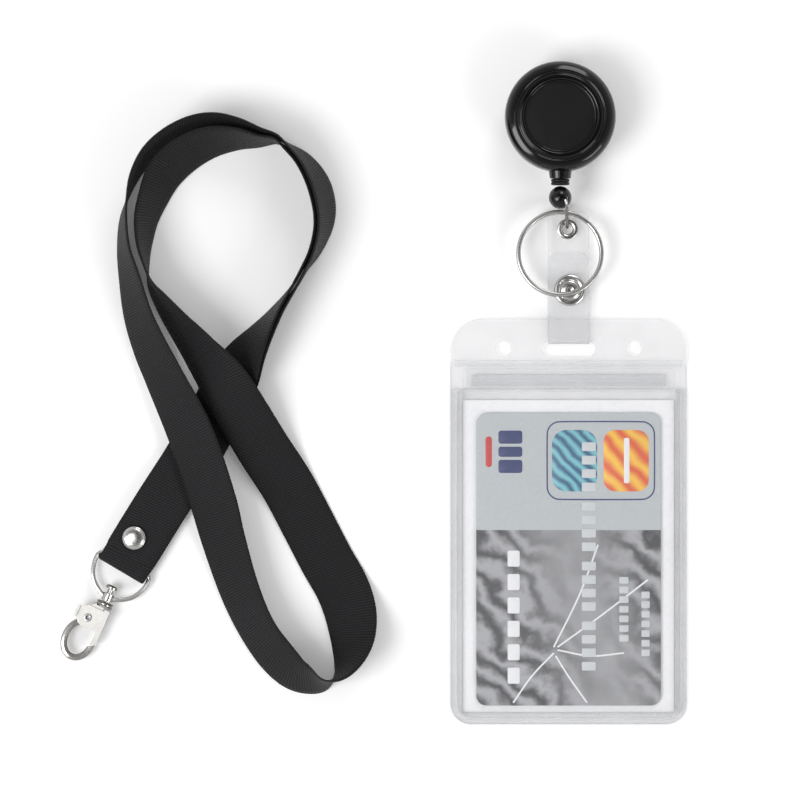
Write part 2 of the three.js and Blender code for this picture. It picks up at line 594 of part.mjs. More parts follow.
function strapEyelet() {
  const low = strapZ - STRAP.thick / 2;
  const high = strapZ + STRAP.thick / 2;
  const bore = EYELET.inner - 0.25;
  const body = turned([
    [bore, low - EYELET.lip], [EYELET.outer - 0.4, low - EYELET.lip], [EYELET.outer - 0.4, low - 0.05],
    [EYELET.inner, low - 0.05], [EYELET.inner, high + 0.05], [EYELET.outer, high + 0.05],
    [EYELET.outer - 0.25, high + EYELET.lip], [bore + 0.3, high + EYELET.lip],
    [bore, high], [bore, low - EYELET.lip],
  ], STRAP.x - 0.3, STRAP.eyelet, 24);
  return piece("strap_eyelet", body, MATERIALS.nickel);
}

const snapAt = [STRAP.x + 0.3, SNAP.y];

function snapCap() {
  const low = frontLeafZ + STRAP.thick / 2 + 0.05;
  const body = turned([
    [0, low], [SNAP.cap, low], [SNAP.cap, low + 0.3], [SNAP.cap - 0.3, low + 0.55],
    [SNAP.cap - 1, low + 0.6],
    [SNAP.cap - 1.15, low + 0.35], [SNAP.cap - 1.45, low + 0.35], [SNAP.cap - 1.7, low + 0.7],
    [SNAP.stud, low + 0.95], [0.55, low + 1.0], [0.4, low + 0.7], [0, low + 0.7],
  ], ...snapAt, 24);
  return piece("snap_cap", body, MATERIALS.nickel);
}

function snapSocket() {
  const high = frontLeafZ - STRAP.thick / 2 - 0.05;
  const low = backLeafZ + STRAP.thick / 2 + 0.3;
  const bore = SNAP.stud + 0.2;
  const body = turned([
    [bore, low], [SNAP.socket - 0.3, low], [SNAP.socket, low + 0.3],
    [SNAP.socket, high], [bore, high], [bore, low],
  ], ...snapAt, 24);
  return piece("snap_socket", body, MATERIALS.steel);
}

function snapStud() {
  const low = backLeafZ + STRAP.thick / 2 + 0.05;
  const body = turned([
    [0, low], [SNAP.base - 0.6, low], [SNAP.base - 0.6, low + 0.15], [SNAP.stud - 0.2, low + 0.15],
    [SNAP.stud, low + 0.7], [SNAP.stud - 0.4, low + 1.05], [0, low + 1.05],
  ], ...snapAt, 20);
  return piece("snap_stud", body, MATERIALS.steel);
}

function snapPost() {
  const high = backLeafZ - STRAP.thick / 2 - 0.05;
  const body = turned([
    [0, 0.05], [SNAP.base - 0.4, 0.05], [SNAP.base, 0.3], [SNAP.base, high], [0.75, high],
    [0.75, backLeafZ + STRAP.thick / 2], [0, backLeafZ + STRAP.thick / 2],
  ], ...snapAt, 20);
  return piece("snap_post", body, MATERIALS.nickel);
}

// ---------------------------------------------------------------- card pocket
const pocketBottom = POCKET.top - POCKET.height;
const pocketLeft = POCKET.x - POCKET.width / 2;
const pocketRight = POCKET.x + POCKET.width / 2;

function pocketOutline(top) {
  const high = top === POCKET.top ? POCKET.topRound : 0.5;
  return roundedRectangle(pocketLeft, pocketRight, pocketBottom, top, POCKET.lowRound, high);
}

function punches() {
  const half = SLOT.width / 2;
  const end = SLOT.height / 2;
  const outline = roundedRectangle(
    POCKET.x - half, POCKET.x + half, SLOT.y - end, SLOT.y + end, end - 0.01,
  );
  const slot = plate(outline, -5, 9);
  const holes = [-1, 1].map((side) => ring(0, HOLE.radius, -5, 9, POCKET.x + side * HOLE.offset, HOLE.y, 32));
  return [slot, ...holes];
}

function pocketBack() {
  const middle = POCKET.sheet / 2;
  const foot = SLOT.y - SLOT.height / 2 - 0.3;
  const line = [
    [pocketBottom - 1, middle], [MOUTH.lip + 0.4, middle], [foot, middle + POCKET.lift],
    [POCKET.top + 1, middle + POCKET.lift],
  ];
  const sheet = bentSheet(line, POCKET.sheet, pocketLeft - 1, pocketRight + 1);
  const cropped = meet(sheet, plate(pocketOutline(POCKET.top), -5, 9));
  return piece("pocket_back_sheet", cut(cropped, ...punches()), MATERIALS.vinyl);
}

// The front sheet: a welded border, a sloped wall and a raised window over the card.
const weldTop = POCKET.sheet + 0.05;
const windowLevel = MOUTH.rise;
const frontTop = ZIP.y - ZIP.height / 2 - 0.9;

function trayShape(inset, top) {
  return roundedRectangle(pocketLeft + inset, pocketRight - inset, pocketBottom + inset, top, 0.8, 0.5);
}

function pocketFront() {
  const outline = roundedRectangle(pocketLeft, pocketRight, pocketBottom, frontTop, POCKET.lowRound, 0.5);
  const border = plate(outline, weldTop, weldTop + POCKET.sheet);
  const block = plate(trayShape(MOUTH.weld, frontTop - 0.05), weldTop + 0.05, windowLevel + POCKET.sheet);
  const room = plate(trayShape(MOUTH.weld + POCKET.sheet, frontTop + 5), -1, windowLevel);
  return piece("pocket_front_sheet", cut(join(border, block), room), MATERIALS.vinyl);
}

// The lip above the mouth is free, so that a finger can pull it away from the back sheet.
function pocketLip() {
  const inset = MOUTH.weld + POCKET.sheet + 0.3;
  const lip = plate(
    roundedRectangle(pocketLeft + inset, pocketRight - inset, frontTop + GAP, MOUTH.lip, 0.4, 1),
    windowLevel, windowLevel + POCKET.sheet,
  );
  return piece("pocket_lip", lip, MATERIALS.vinyl);
}

function zipHalf(name, z0, z1, grooves) {
  const left = pocketLeft + MOUTH.weld + ZIP.inset;
  const right = pocketRight - MOUTH.weld - ZIP.inset;
  const half = ZIP.height / 2;
  const base = box(left, right, ZIP.y - half, ZIP.y + half, z0, z1);
  const channels = grooves.map((y) => box(left - 1, right + 1, y - 0.35, y + 0.35, z1 - 0.25, z1 + 1));
  return piece(name, channels.length > 0 ? cut(base, ...channels) : base, MATERIALS.vinyl);
}

function zips() {
  const track = weldTop + ZIP.track;
  zipHalf("zip_track", weldTop, track, [ZIP.y - 0.9, ZIP.y + 0.9]);
  zipHalf("zip_rib", windowLevel - ZIP.rib - 0.05, windowLevel - 0.05, []);
}

function paperInsert() {
  const half = INSERT.width / 2;
  const bottom = INSERT.top - INSERT.height;
  const outline = roundedRectangle(POCKET.x - half, POCKET.x + half, bottom, INSERT.top, 0.5);
  const z = weldTop + 0.05;
  return piece("paper_insert", plate(outline, z, z + INSERT.thick), MATERIALS.paper);
}

function idCard() {
  const half = CARD.width / 2;
  const bottom = CARD.top - CARD.height;
  const outline = roundedRectangle(POCKET.x - half, POCKET.x + half, bottom, CARD.top, CARD.round);
  const z = weldTop + 0.05 + INSERT.thick + 0.15;
  return piece("id_card", plate(outline, z, z + CARD.thick), MATERIALS.card);
}

// ---------------------------------------------------------------- lanyard webbing
// Cross-sections of the ribbon along its route; side moves a doubled layer off the shared middle line.
function ribbonStations() {
  const out = TAIL_ROUTE.map((station) => [...station, -WEB.spacing / 2]);
  const back = [...out].reverse().map(([x, y, lean, lift, side]) => [x, y, 180 - lean, lift, side]);
  const legs = LEGS_ROUTE.map((station) => [...station, 0]);
  return [...out.slice(1), ...legs, ...back];
}

function ribbon() {
  const stations = ribbonStations();
  const steps = 190;
  const heights = stations.map(([x, y, lean, lift, side]) => {
    const angle = THREE.MathUtils.degToRad(lean);
    const stack = Math.abs(side) > 0 ? WEB.spacing / 2 + WEB.thick / 2 : WEB.thick / 2;
    const z = lift + (WEB.width / 2) * Math.sin(angle) + stack * Math.abs(Math.cos(angle));
    return new THREE.Vector3(x, y, z);
  });
  const leans = stations.map(([, , lean, , side], i) => new THREE.Vector3(lean, side, i));
  const route = new THREE.CatmullRomCurve3(heights, false, "centripetal");
  const turn = new THREE.CatmullRomCurve3(leans, false, "centripetal");
  const position = [];
  const index = [];
  for (let i = 0; i <= steps; i += 1) {
    const place = i / steps;
    const centre = route.getPoint(place);
    const tangent = route.getTangent(place);
    const { x: lean, y: side } = turn.getPoint(place);
    const angle = THREE.MathUtils.degToRad(lean);
    const right = new THREE.Vector3(tangent.y, -tangent.x, 0).normalize();
    const edge = right.multiplyScalar(Math.cos(angle)).add(new THREE.Vector3(0, 0, Math.sin(angle)));
    edge.addScaledVector(tangent, -edge.dot(tangent)).normalize();
    const face = new THREE.Vector3().crossVectors(edge, tangent).normalize();
    centre.addScaledVector(face, side);
    for (const [w, t] of [[-1, -1], [1, -1], [1, 1], [-1, 1]]) {
      const corner = centre.clone().addScaledVector(edge, (w * WEB.width) / 2);
      corner.addScaledVector(face, (t * WEB.thick) / 2);
      position.push(corner.x, corner.y, corner.z);
    }
  }
  for (let i = 0; i < steps; i += 1) {
    for (let c = 0; c < 4; c += 1) {
      const a = i * 4 + c;
      const b = i * 4 + ((c + 1) % 4);
      index.push(a, a + 4, b, b, a + 4, b + 4);
    }
  }
  const last = steps * 4;
  index.push(0, 1, 2, 0, 2, 3, last, last + 2, last + 1, last, last + 3, last + 2);
  const geometry = new THREE.BufferGeometry();
  geometry.setAttribute("position", new THREE.Float32BufferAttribute(position, 3));
  geometry.setIndex(index);
  return geometry;
}

const tailAt = new THREE.Vector3(TAIL.x, TAIL.y, 0);
const barZ = TAIL.low + TAIL.wrap;

// Turns a piece drawn pointing along -Y so that it points along the given angle, and puts it at a place.
function pointed(geometry, angle, x, y, z = 0) {
  return geometry.rotateZ(THREE.MathUtils.degToRad(angle + 90)).translate(x, y, z);
}

// The strip goes round the bar of the loop and comes back under itself as far as its cut end.
function fold() {
  const centre = -(TAIL.wrap + WEB.thick / 2);
  const line = [
    [-TAIL.front, barZ + TAIL.wrap], [centre - 0.5, barZ + TAIL.wrap],
    ...arc(centre, barZ, TAIL.wrap, Math.PI / 2, -Math.PI / 2, 10),
    [centre - 0.5, TAIL.low], [-TAIL.back, TAIL.low],
  ].map(([v, z]) => [-v, z]);
  const strip = bentSheet(line, WEB.thick, -TAIL.width / 2, TAIL.width / 2);
  return pointed(strip, TAIL.angle, tailAt.x, tailAt.y);
}

function webbing() {
  const bore = ring(0, STUD.shank + 0.2, -3, 12, STUD.x, STUD.y, 24);
  return piece("lanyard_webbing", cut(join(ribbon(), fold()), bore), MATERIALS.nylon);
}

function rivet() {
  const dome = [];
  const rings = 6;
  const height = 1.1;
  for (let i = 0; i <= rings; i += 1) {
    const angle = (i / rings) * (Math.PI / 2);
    dome.push([STUD.cap * Math.cos(angle), STUD.top + 0.25 + height * Math.sin(angle)]);
  }
  const cap = [
    [0, 1.2], [STUD.peg - 0.15, 1.2], [STUD.peg - 0.15, STUD.top], [STUD.cap - 0.1, STUD.top],
    ...dome.slice(0, -1), [0, STUD.top + 0.25 + height],
  ];
  piece("rivet_cap", turned(cap, STUD.x, STUD.y, 24), MATERIALS.nickel);
  const post = [
    [0, 0.05], [2.4, 0.05], [2.6, 0.35], [STUD.shank, 0.4], [STUD.shank, STUD.top - 0.1],
    [STUD.peg, STUD.top - 0.1], [STUD.peg, 0.9], [0, 0.9],
  ];
  piece("rivet_post", turned(post, STUD.x, STUD.y, 20), MATERIALS.nickel);
}

// ---------------------------------------------------------------- swivel loop and hook
const loopAngle = THREE.MathUtils.degToRad(LOOP.angle);
const hub = [LOOP.x + LOOP.depth * Math.cos(loopAngle), LOOP.y + LOOP.depth * Math.sin(loopAngle), HOOK.z];

function placedHook(geometry) {
  return pointed(geometry, HOOK.angle, ...hub);
}

function swivelLoop() {
  const half = LOOP.inner / 2 + LOOP.wire;
  const side = [
    [half - 1.3, 0], [half - 0.3, 0.5], [half, 1.9], [half - 0.5, 4.8], [half - 2.1, 7.9],
    [half - 4.6, 9.9], [1.4, LOOP.depth],
  ];
  const otherSide = side.map(([u, v]) => [-u, v]).reverse();
  const outline = [[-half / 2, 0], [0, 0], [half / 2, 0], ...side, ...otherSide];
  const points = outline.map(([u, v]) => [u, -v, barZ + ((HOOK.z - barZ) * v) / LOOP.depth]);
  const wire = pointed(closedWire(points, LOOP.wire, 26), LOOP.angle, LOOP.x, LOOP.y);
  const eye = placedHook(new THREE.CylinderGeometry(HOOK.hub, HOOK.hub, HOOK.hubLength, 28));
  const bore = placedHook(new THREE.CylinderGeometry(HOOK.stem + 0.2, HOOK.stem + 0.2, 8, 28));
  return piece("swivel_loop", cut(join(wire, eye), bore), MATERIALS.nickel);
}

// A turned piece on the hook's own axis; profile holds [radius, distance along] pairs.
function onAxis(profile) {
  const upward = profile.map(([radius, along]) => [radius, -along]).reverse();
  return turned(upward, 0, 0, 22).rotateX(-Math.PI / 2);
}

function flat(points, z0, z1) {
  return plate(polygon(points.map(([side, along]) => [side, -along])), z0, z1);
}

function hookBody() {
  const stem = onAxis([
    [0, -3.7], [HOOK.head - 0.5, -3.7], [HOOK.head, -3.3], [HOOK.head, -2.6],
    [HOOK.stem, -2.6], [HOOK.stem, 1.5],
    [HOOK.collar - 0.3, 1.5], [HOOK.collar, 1.8], [HOOK.collar - 0.3, 2.1], [HOOK.collar - 0.3, 2.4],
    [HOOK.collar, 2.7], [HOOK.collar - 0.3, 3.2], [0, 3.2],
  ]);
  const neckOutline = [[-2.3, 2.9], [0.3, 2.9], [0.3, 6.2], [-3, 10], [-5.6, 9], [-5.8, 7], [-4.4, 4.4]];
  const neck = flat(neckOutline, -HOOK.half, HOOK.half);
  const eye = ring(0, HOOK.eye, -HOOK.half, HOOK.half, HOOK.pinSide, -HOOK.pinAlong, 24);
  const turn = (degrees) => {
    const angle = THREE.MathUtils.degToRad(degrees);
    return [CLAW.side + CLAW.half * Math.cos(angle), -(CLAW.along - CLAW.reach * Math.sin(angle)), 0];
  };
  const arcPoints = Array.from({ length: 15 }, (_, i) => turn(106 + i * 18.6));
  const swing = ring(0, 8.5, -3, 3, HOOK.pinSide, -HOOK.pinAlong, 48);
  const tipRoom = meet(swing, box(-0.9, 6, -30, 0, -3, 3));
  const claw = cut(bentBar(arcPoints, CLAW.wire, 26, 5), tipRoom);
  const pinRoom = ring(0, HOOK.pin + 0.15, -4, 4, HOOK.pinSide, -HOOK.pinAlong, 20);
  return piece("hook_body", placedHook(cut(join(stem, neck, eye, claw), pinRoom)), MATERIALS.nickel);
}

function hookGate() {
  const cheekLow = HOOK.half + GAP;
  const cheekHigh = cheekLow + GATE.cheek;
  const bar = flat([
    [GATE.inner, GATE.start + 0.3], [GATE.inner + 0.4, GATE.start], [GATE.outer, GATE.start + 0.2],
    [GATE.outer, 13.9], [GATE.inner, 14.9],
  ], -HOOK.half, cheekHigh);
  const cheek = flat([
    [GATE.inner + 0.5, 4.2], [GATE.outer - 0.3, 5], [GATE.outer - 0.3, 9.5], [GATE.inner + 0.2, 10.6],
    [-1.6, 10.4], [-4.4, 10], [GATE.thumb, 8.4], [GATE.thumb, 5.2], [-4, 4],
  ], cheekLow, cheekHigh);
  const thumbOutline = [
    [GATE.thumb - 0.4, 8.4], [GATE.thumb - 0.4, 5.2], [GATE.thumb + 0.4, 5], [GATE.thumb + 0.4, 8.5],
  ];
  const thumb = flat(thumbOutline, cheekLow, HOOK.z + 0.15);
  const pinRoom = ring(0, HOOK.pin + 0.15, -4, 4, HOOK.pinSide, -HOOK.pinAlong, 24);
  return piece("hook_gate", placedHook(cut(join(bar, cheek, thumb), pinRoom)), MATERIALS.nickel);
}

function gatePin() {
  const high = HOOK.half + GAP + GATE.cheek + 0.15;
  const body = turned([
    [0, -2.6], [1.3, -2.6], [1.3, -2.35], [HOOK.pin, -2.3], [HOOK.pin, high], [1.25, high],
    [1.1, high + 0.3],
    [0.4, high + 0.3], [0.3, high + 0.1], [0, high + 0.1],
  ], HOOK.pinSide, -HOOK.pinAlong, 18);
  return piece("gate_pin", placedHook(body), MATERIALS.steel);
}

function gateSpring() {
  const { wire, turns, leg, rise, low, steps } = GATE_SPRING;
  const coil = HOOK.pin + wire + 0.15;
  const points = [[HOOK.pinSide + leg, -HOOK.pinAlong + coil, low]];
  for (let i = 0; i <= steps; i += 1) {
    const angle = Math.PI / 2 + (i / steps) * Math.PI * 2 * turns;
    const x = HOOK.pinSide + coil * Math.cos(angle);
    const y = -HOOK.pinAlong + coil * Math.sin(angle);
    points.push([x, y, low - (rise * i) / steps]);
  }
  return piece("gate_spring", placedHook(bentBar(points, wire, steps + 4, 3)), MATERIALS.steel);
}

// ---------------------------------------------------------------- the whole object
[
  reelBackCover, reelFrontCover, cordGuide, spoolPost, cordSpool, woundCord, powerSpring,
  clipRivet, clipBaseJaw, clipLeverJaw, clipAxle, clipSpring,
  pullCord, cordCollar, stopBall, connectingLink, splitRing,
  frontLeaf, backLeaf, strapEyelet, snapCap, snapSocket, snapStud, snapPost,
  pocketBack, pocketFront, pocketLip, zips, paperInsert, idCard,
  webbing, rivet, swivelLoop, hookBody, hookGate, gatePin, gateSpring,
].forEach((make) => make());

// The origin is under the middle of the whole object, on the table.
const bounds = new THREE.Box3().setFromObject(part);
const middle = bounds.getCenter(new THREE.Vector3());
part.children.forEach((mesh) => mesh.geometry.translate(-middle.x, -middle.y, -bounds.min.z));

export default part;
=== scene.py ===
"""Lanyard badge holder: a webbing lanyard with a riveted swivel hook, and a retracting badge reel
with a split ring, a snap strap and a clear card pocket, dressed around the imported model."""

import logging
import math
from dataclasses import dataclass, field
from enum import Enum
from typing import Sequence

import bmesh
import bpy
import numpy as np
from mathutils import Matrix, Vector


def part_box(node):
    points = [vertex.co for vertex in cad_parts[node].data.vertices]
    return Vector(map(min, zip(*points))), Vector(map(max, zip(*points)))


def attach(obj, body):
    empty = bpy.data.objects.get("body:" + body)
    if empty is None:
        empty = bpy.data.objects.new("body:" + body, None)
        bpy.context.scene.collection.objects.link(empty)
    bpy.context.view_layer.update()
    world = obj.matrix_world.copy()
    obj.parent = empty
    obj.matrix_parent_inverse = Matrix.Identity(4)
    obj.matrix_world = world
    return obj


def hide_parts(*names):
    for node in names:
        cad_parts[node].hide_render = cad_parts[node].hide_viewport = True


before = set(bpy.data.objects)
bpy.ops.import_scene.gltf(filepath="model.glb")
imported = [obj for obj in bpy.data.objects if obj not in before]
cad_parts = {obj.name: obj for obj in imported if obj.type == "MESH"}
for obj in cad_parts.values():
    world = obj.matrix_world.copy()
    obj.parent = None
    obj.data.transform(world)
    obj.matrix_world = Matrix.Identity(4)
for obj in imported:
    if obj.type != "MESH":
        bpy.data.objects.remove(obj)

log = logging.getLogger("badge_holder")

MM = 0.001
SHARP_ANGLE = math.radians(40)  # new pieces keep a hard edge where faces meet at more than this
RIM_ANGLE = math.radians(32)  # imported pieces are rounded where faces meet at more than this
FLAT_ANGLE = math.radians(1)  # faces that meet at less than this are merged before rounding
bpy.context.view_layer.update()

Colour = tuple[float, float, float]
Array = np.ndarray


class Slot(Enum):
    """The finish slots of the record that the new pieces take part in."""

    WEBBING = "nylon_webbing"
    CORD = "cord_nylon"
    BLACK = "black_plastic"
    INNER = "inner_plastic"
    NICKEL = "nickel"
    STEEL = "steel"
    VINYL = "clear_vinyl"
    PAPER = "white_paper"
    CARD = "printed_card"


# ---------------------------------------------------------------- surfaces
def unit(vectors: Array) -> Array:
    """Rows of a vector array brought to length one.

    Args:
        vectors: array of shape (n, 3).
    Returns:
        The same directions with unit length.
    """
    return vectors / np.maximum(np.linalg.norm(vectors, axis=1, keepdims=True), 1e-12)


def spline(points: Array, count: int, closed: bool = False) -> Array:
    """A centripetal Catmull-Rom curve through the points, sampled at even steps of its length.

    The first three columns are the place; more columns are carried along with the same weights.
    Args:
        points: array of shape (n, 3 or more).
        count: number of samples.
        closed: whether the curve returns to its first point.
    Returns:
        Array of shape (count, columns).
    """
    rows = np.asarray(points, float)
    if closed:
        rows = np.vstack([rows[-1:], rows, rows[:2]])
    else:
        rows = np.vstack([2 * rows[0] - rows[1], rows, 2 * rows[-1] - rows[-2]])
    chord = np.sqrt(np.linalg.norm(np.diff(rows[:, :3], axis=0), axis=1))
    knots = np.concatenate([[0.0], np.cumsum(np.maximum(chord, 1e-9))])
    segments = len(rows) - 3

    def at(place: Array) -> Array:
        """The curve at places counted in segments.

        Args:
            place: the places.
        Returns:
            One row for each place.
        """
        i = np.clip(place.astype(int), 0, segments - 1)
        p = [rows[i + k] for k in range(4)]
        t = [knots[i + k][:, None] for k in range(4)]
        here = t[1] + (t[2] - t[1]) * (place - i)[:, None]

        def mix(a: Array, b: Array, ta: Array, tb: Array) -> Array:
            """Straight mix of a and b between their knots."""
            return (a * (tb - here) + b * (here - ta)) / (tb - ta)

        first = [mix(p[k], p[k + 1], t[k], t[k + 1]) for k in range(3)]
        second = [mix(first[k], first[k + 1], t[k], t[k + 2]) for k in range(2)]
        return mix(second[0], second[1], t[1], t[2])

    dense = np.linspace(0, segments, segments * 24 + 1)
    lengths = np.linalg.norm(np.diff(at(dense)[:, :3], axis=0), axis=1)
    run = np.concatenate([[0.0], np.cumsum(lengths)])
    even = np.linspace(0, run[-1], count + 1)[:count] if closed else np.linspace(0, run[-1], count)
    return at(np.interp(even, run, dense))


def rounded(profile: Sequence[Sequence[float]], reach: float = 0.3, steps: int = 4) -> Array:
    """An open outline with every inner corner replaced by a parabola between points near the corner.

    Args:
        profile: the corner points, as (a, b) pairs.
        reach: distance in millimetres from a corner at which its curve starts, at most 0.45 of a side.
        steps: points on each curve.
    Returns:
        Array of shape (n, 2).
    """
    p = np.asarray(profile, float)
    corner = p[1:-1]
    into = p[:-2] - corner
    out = p[2:] - corner
    into *= np.minimum(reach / np.maximum(np.linalg.norm(into, axis=1), 1e-9), 0.45)[:, None]
    out *= np.minimum(reach / np.maximum(np.linalg.norm(out, axis=1), 1e-9), 0.45)[:, None]
    s = np.linspace(0, 1, steps)[None, :, None]
    start = (corner + into)[:, None, :]
    end = (corner + out)[:, None, :]
    curve = (1 - s) ** 2 * start + 2 * s * (1 - s) * corner[:, None, :] + s**2 * end
    return np.vstack([p[:1], curve.reshape(-1, 2), p[-1:]])


def grid_faces(rows: int, columns: int, wrap_rows: bool, wrap_columns: bool) -> Array:
    """Corner numbers of the quads of a grid whose vertices are numbered row by row.

    Args:
        rows: number of rows of vertices.
        columns: number of vertices in a row.
        wrap_rows: whether the last row joins the first.
        wrap_columns: whether the last column joins the first.
    Returns:
        Array of shape (quads, 4).
    """
    r = np.arange(rows if wrap_rows else rows - 1)
    c = np.arange(columns if wrap_columns else columns - 1)
    r, c = np.meshgrid(r, c, indexing="ij")
    below = ((r + 1) % rows) * columns
    beside = (c + 1) % columns
    quads = np.stack([r * columns + c, r * columns + beside, below + beside, below + c], axis=-1)
    return quads.reshape(-1, 4)


def new_piece(name: str, points: Array, faces: list, uv: Array | None = None) -> bpy.types.Object:
    """A smooth mesh object from points in millimetres.

    Doubled points at poles are merged and faces turned outwards.
    Args:
        name: the piece's name.
        points: array of shape (n, 3), in the shared frame.
        faces: lists of corner numbers.
        uv: an optional (n, 2) array with one place in the pattern for each point.
    Returns:
        The linked object, at the origin.
    """
    mesh = bpy.data.meshes.new(name)
    mesh.from_pydata((points * MM).tolist(), [], faces)
    if uv is not None:
        layer = mesh.uv_layers.new(name="pattern")
        corners = np.zeros(len(mesh.loops), int)
        mesh.loops.foreach_get("vertex_index", corners)
        layer.data.foreach_set("uv", uv[corners].ravel())
    obj = bpy.data.objects.new(name, mesh)
    bpy.context.scene.collection.objects.link(obj)
    work = bmesh.new()
    work.from_mesh(mesh)
    bmesh.ops.remove_doubles(work, verts=work.verts, dist=1e-7)
    bmesh.ops.recalc_face_normals(work, faces=work.faces)
    work.to_mesh(mesh)
    work.free()
    mesh.shade_smooth()
    mesh.set_sharp_from_angle(angle=SHARP_ANGLE)
    return obj


def turned_along(
    name: str, profile: Array, start: Sequence[float], direction: Sequence[float], segments: int = 64
) -> bpy.types.Object:
    """A surface of revolution about any axis: each profile row is a radius and a distance along it.

    Args:
        name: the piece's name.
        profile: (radius, distance) rows.
        start: the point from which distances count.
        direction: the axis.
        segments: steps round the axis.
    Returns:
        The object.
    """
    rows = np.asarray(profile, float)
    axis = unit(np.array([direction], float))[0]
    helper = np.array([0.0, 0.0, 1.0]) if abs(axis[2]) < 0.9 else np.array([1.0, 0.0, 0.0])
    side = unit(np.cross(axis, helper)[None])[0]
    up = np.cross(side, axis)
    angle = np.linspace(0, 2 * np.pi, segments, endpoint=False)
    spoke = np.cos(angle)[:, None] * side + np.sin(angle)[:, None] * up
    points = np.asarray(start, float) + rows[:, 1, None, None] * axis + rows[:, 0, None, None] * spoke
    return new_piece(name, points.reshape(-1, 3), grid_faces(len(rows), segments, False, True).tolist())


def turned(name: str, profile: Array, centre: Sequence[float], segments: int = 96) -> bpy.types.Object:
    """A surface of revolution about an upright axis: radius and height of the profile, carried round.

    Args:
        name: the piece's name.
        profile: (radius, height) rows, closed or ending on the axis.
        centre: x and y of the axis.
        segments: steps round the axis.
    Returns:
        The object.
    """
    return turned_along(name, profile, (centre[0], centre[1], 0.0), (0.0, 0.0, 1.0), segments)


def carried(
    name: str, path: Array, side: Array, up: Array, section: Array, closed: bool = False,
    uv: Array | None = None,
) -> bpy.types.Object:
    """A closed section carried along a path: point = path + across * side + height * up.

    Args:
        name: the piece's name.
        path: (n, 3) centres.
        side: (n, 3) unit vectors that the section's first number follows.
        up: (n, 3) unit vectors that its second number follows.
        section: (m, 2) rows, or (n, m, 2) where it changes along the path.
        closed: whether the path returns to its start.
        uv: optional places in the pattern, one for each point.
    Returns:
        The object.
    """
    shape = section if section.ndim == 3 else np.repeat(section[None], len(path), axis=0)
    points = path[:, None] + shape[..., :1] * side[:, None] + shape[..., 1:] * up[:, None]
    rows, columns = points.shape[:2]
    faces = grid_faces(rows, columns, closed, True).tolist()
    if not closed:
        last = (rows - 1) * columns
        faces += [list(range(columns)), list(range(last, last + columns))]
    return new_piece(name, points.reshape(-1, 3), faces, uv)


def frames(path: Array, reference: Sequence[float], closed: bool) -> tuple[Array, Array]:
    """Unit vectors across a path: one square to the reference direction and the path, one square to both.

    Args:
        path: (n, 3) centres.
        reference: a direction that the path never runs along.
        closed: whether the path returns to its start.
    Returns:
        The two (n, 3) arrays.
    """
    if closed:
        tangent = unit(np.roll(path, -1, axis=0) - np.roll(path, 1, axis=0))
    else:
        tangent = unit(np.gradient(path, axis=0))
    side = unit(np.cross(np.asarray(reference, float), tangent))
    return side, np.cross(tangent, side)


def flat_bead(name: str, path: Array, section: Array, closed: bool = False) -> bpy.types.Object:
    """A section carried along a path that lies flat, with its height upwards.

    Args:
        name: the piece's name.
        path: (n, 3) centres.
        section: (m, 2) rows.
        closed: whether the path returns to its start.
    Returns:
        The object.
    """
    side, up = frames(path, (0, 0, 1), closed)
    return carried(name, path, side, up, section, closed)


def soft_box(width: float, height: float, corner: float, steps: int = 4) -> Array:
    """A rectangular section with round corners: quarter circles about four corner centres.

    Args:
        width: size across.
        height: size upwards.
        corner: radius of the corners.
        steps: points on each corner.
    Returns:
        (m, 2) rows.
    """
    turn = np.linspace(0, np.pi / 2, steps)
    quarter = np.stack([np.cos(turn), np.sin(turn)], axis=-1) * corner
    a, b = width / 2 - corner, height / 2 - corner
    corners = [(a, b, 0), (-a, b, 1), (-a, -b, 2), (a, -b, 3)]
    parts = []
    for x, y, quarters in corners:
        c, s = math.cos(quarters * math.pi / 2), math.sin(quarters * math.pi / 2)
        parts.append(quarter @ np.array([[c, s], [-s, c]]) + np.array([x, y]))
    return np.vstack(parts)


def plate(
    name: str, outline: Array, low: float, high: float, edge: float = 0.1
) -> bpy.types.Object:
    """A flat plate with softened rims: the outline pulled in at its two faces and full in its middle.

    Args:
        name: the piece's name.
        outline: (n, 2) rows, counterclockwise and convex.
        low: height of the lower face.
        high: height of the upper face.
        edge: how far the rims are rounded.
    Returns:
        The object.
    """
    ahead = np.roll(outline, -1, axis=0) - np.roll(outline, 1, axis=0)
    normal = np.stack([ahead[:, 1], -ahead[:, 0]], axis=-1)
    normal /= np.maximum(np.linalg.norm(normal, axis=1, keepdims=True), 1e-9)
    levels = [(low, edge), (low + 0.3 * edge, 0.3 * edge), (low + edge, 0.0)]
    levels += [(high - edge, 0.0), (high - 0.3 * edge, 0.3 * edge), (high, edge)]
    rings = [np.column_stack([outline - inset * normal, np.full(len(outline), z)]) for z, inset in levels]
    count = len(outline)
    faces = grid_faces(len(rings), count, False, True).tolist()
    faces += [list(range(count)), list(range(count * (len(rings) - 1), count * len(rings)))]
    return new_piece(name, np.vstack(rings), faces)


def round_rectangle(
    x0: float, x1: float, y0: float, y1: float, low: float, high: float | None = None, steps: int = 10
) -> Array:
    """Outline of a rectangle with round corners, counterclockwise.

    Args:
        x0: left side.
        x1: right side.
        y0: bottom.
        y1: top.
        low: radius of the bottom corners.
        high: radius of the top corners, the same if not given.
        steps: points on each corner.
    Returns:
        (n, 2) rows.
    """
    top = low if high is None else high
    turn = np.linspace(0, np.pi / 2, steps)
    corners = [
        (x1 - low, y0 + low, low, -np.pi / 2), (x1 - top, y1 - top, top, 0.0),
        (x0 + top, y1 - top, top, np.pi / 2), (x0 + low, y0 + low, low, np.pi),
    ]
    parts = [
        np.stack([x + r * np.cos(turn + a), y + r * np.sin(turn + a)], axis=-1) for x, y, r, a in corners
    ]
    return np.vstack(parts)


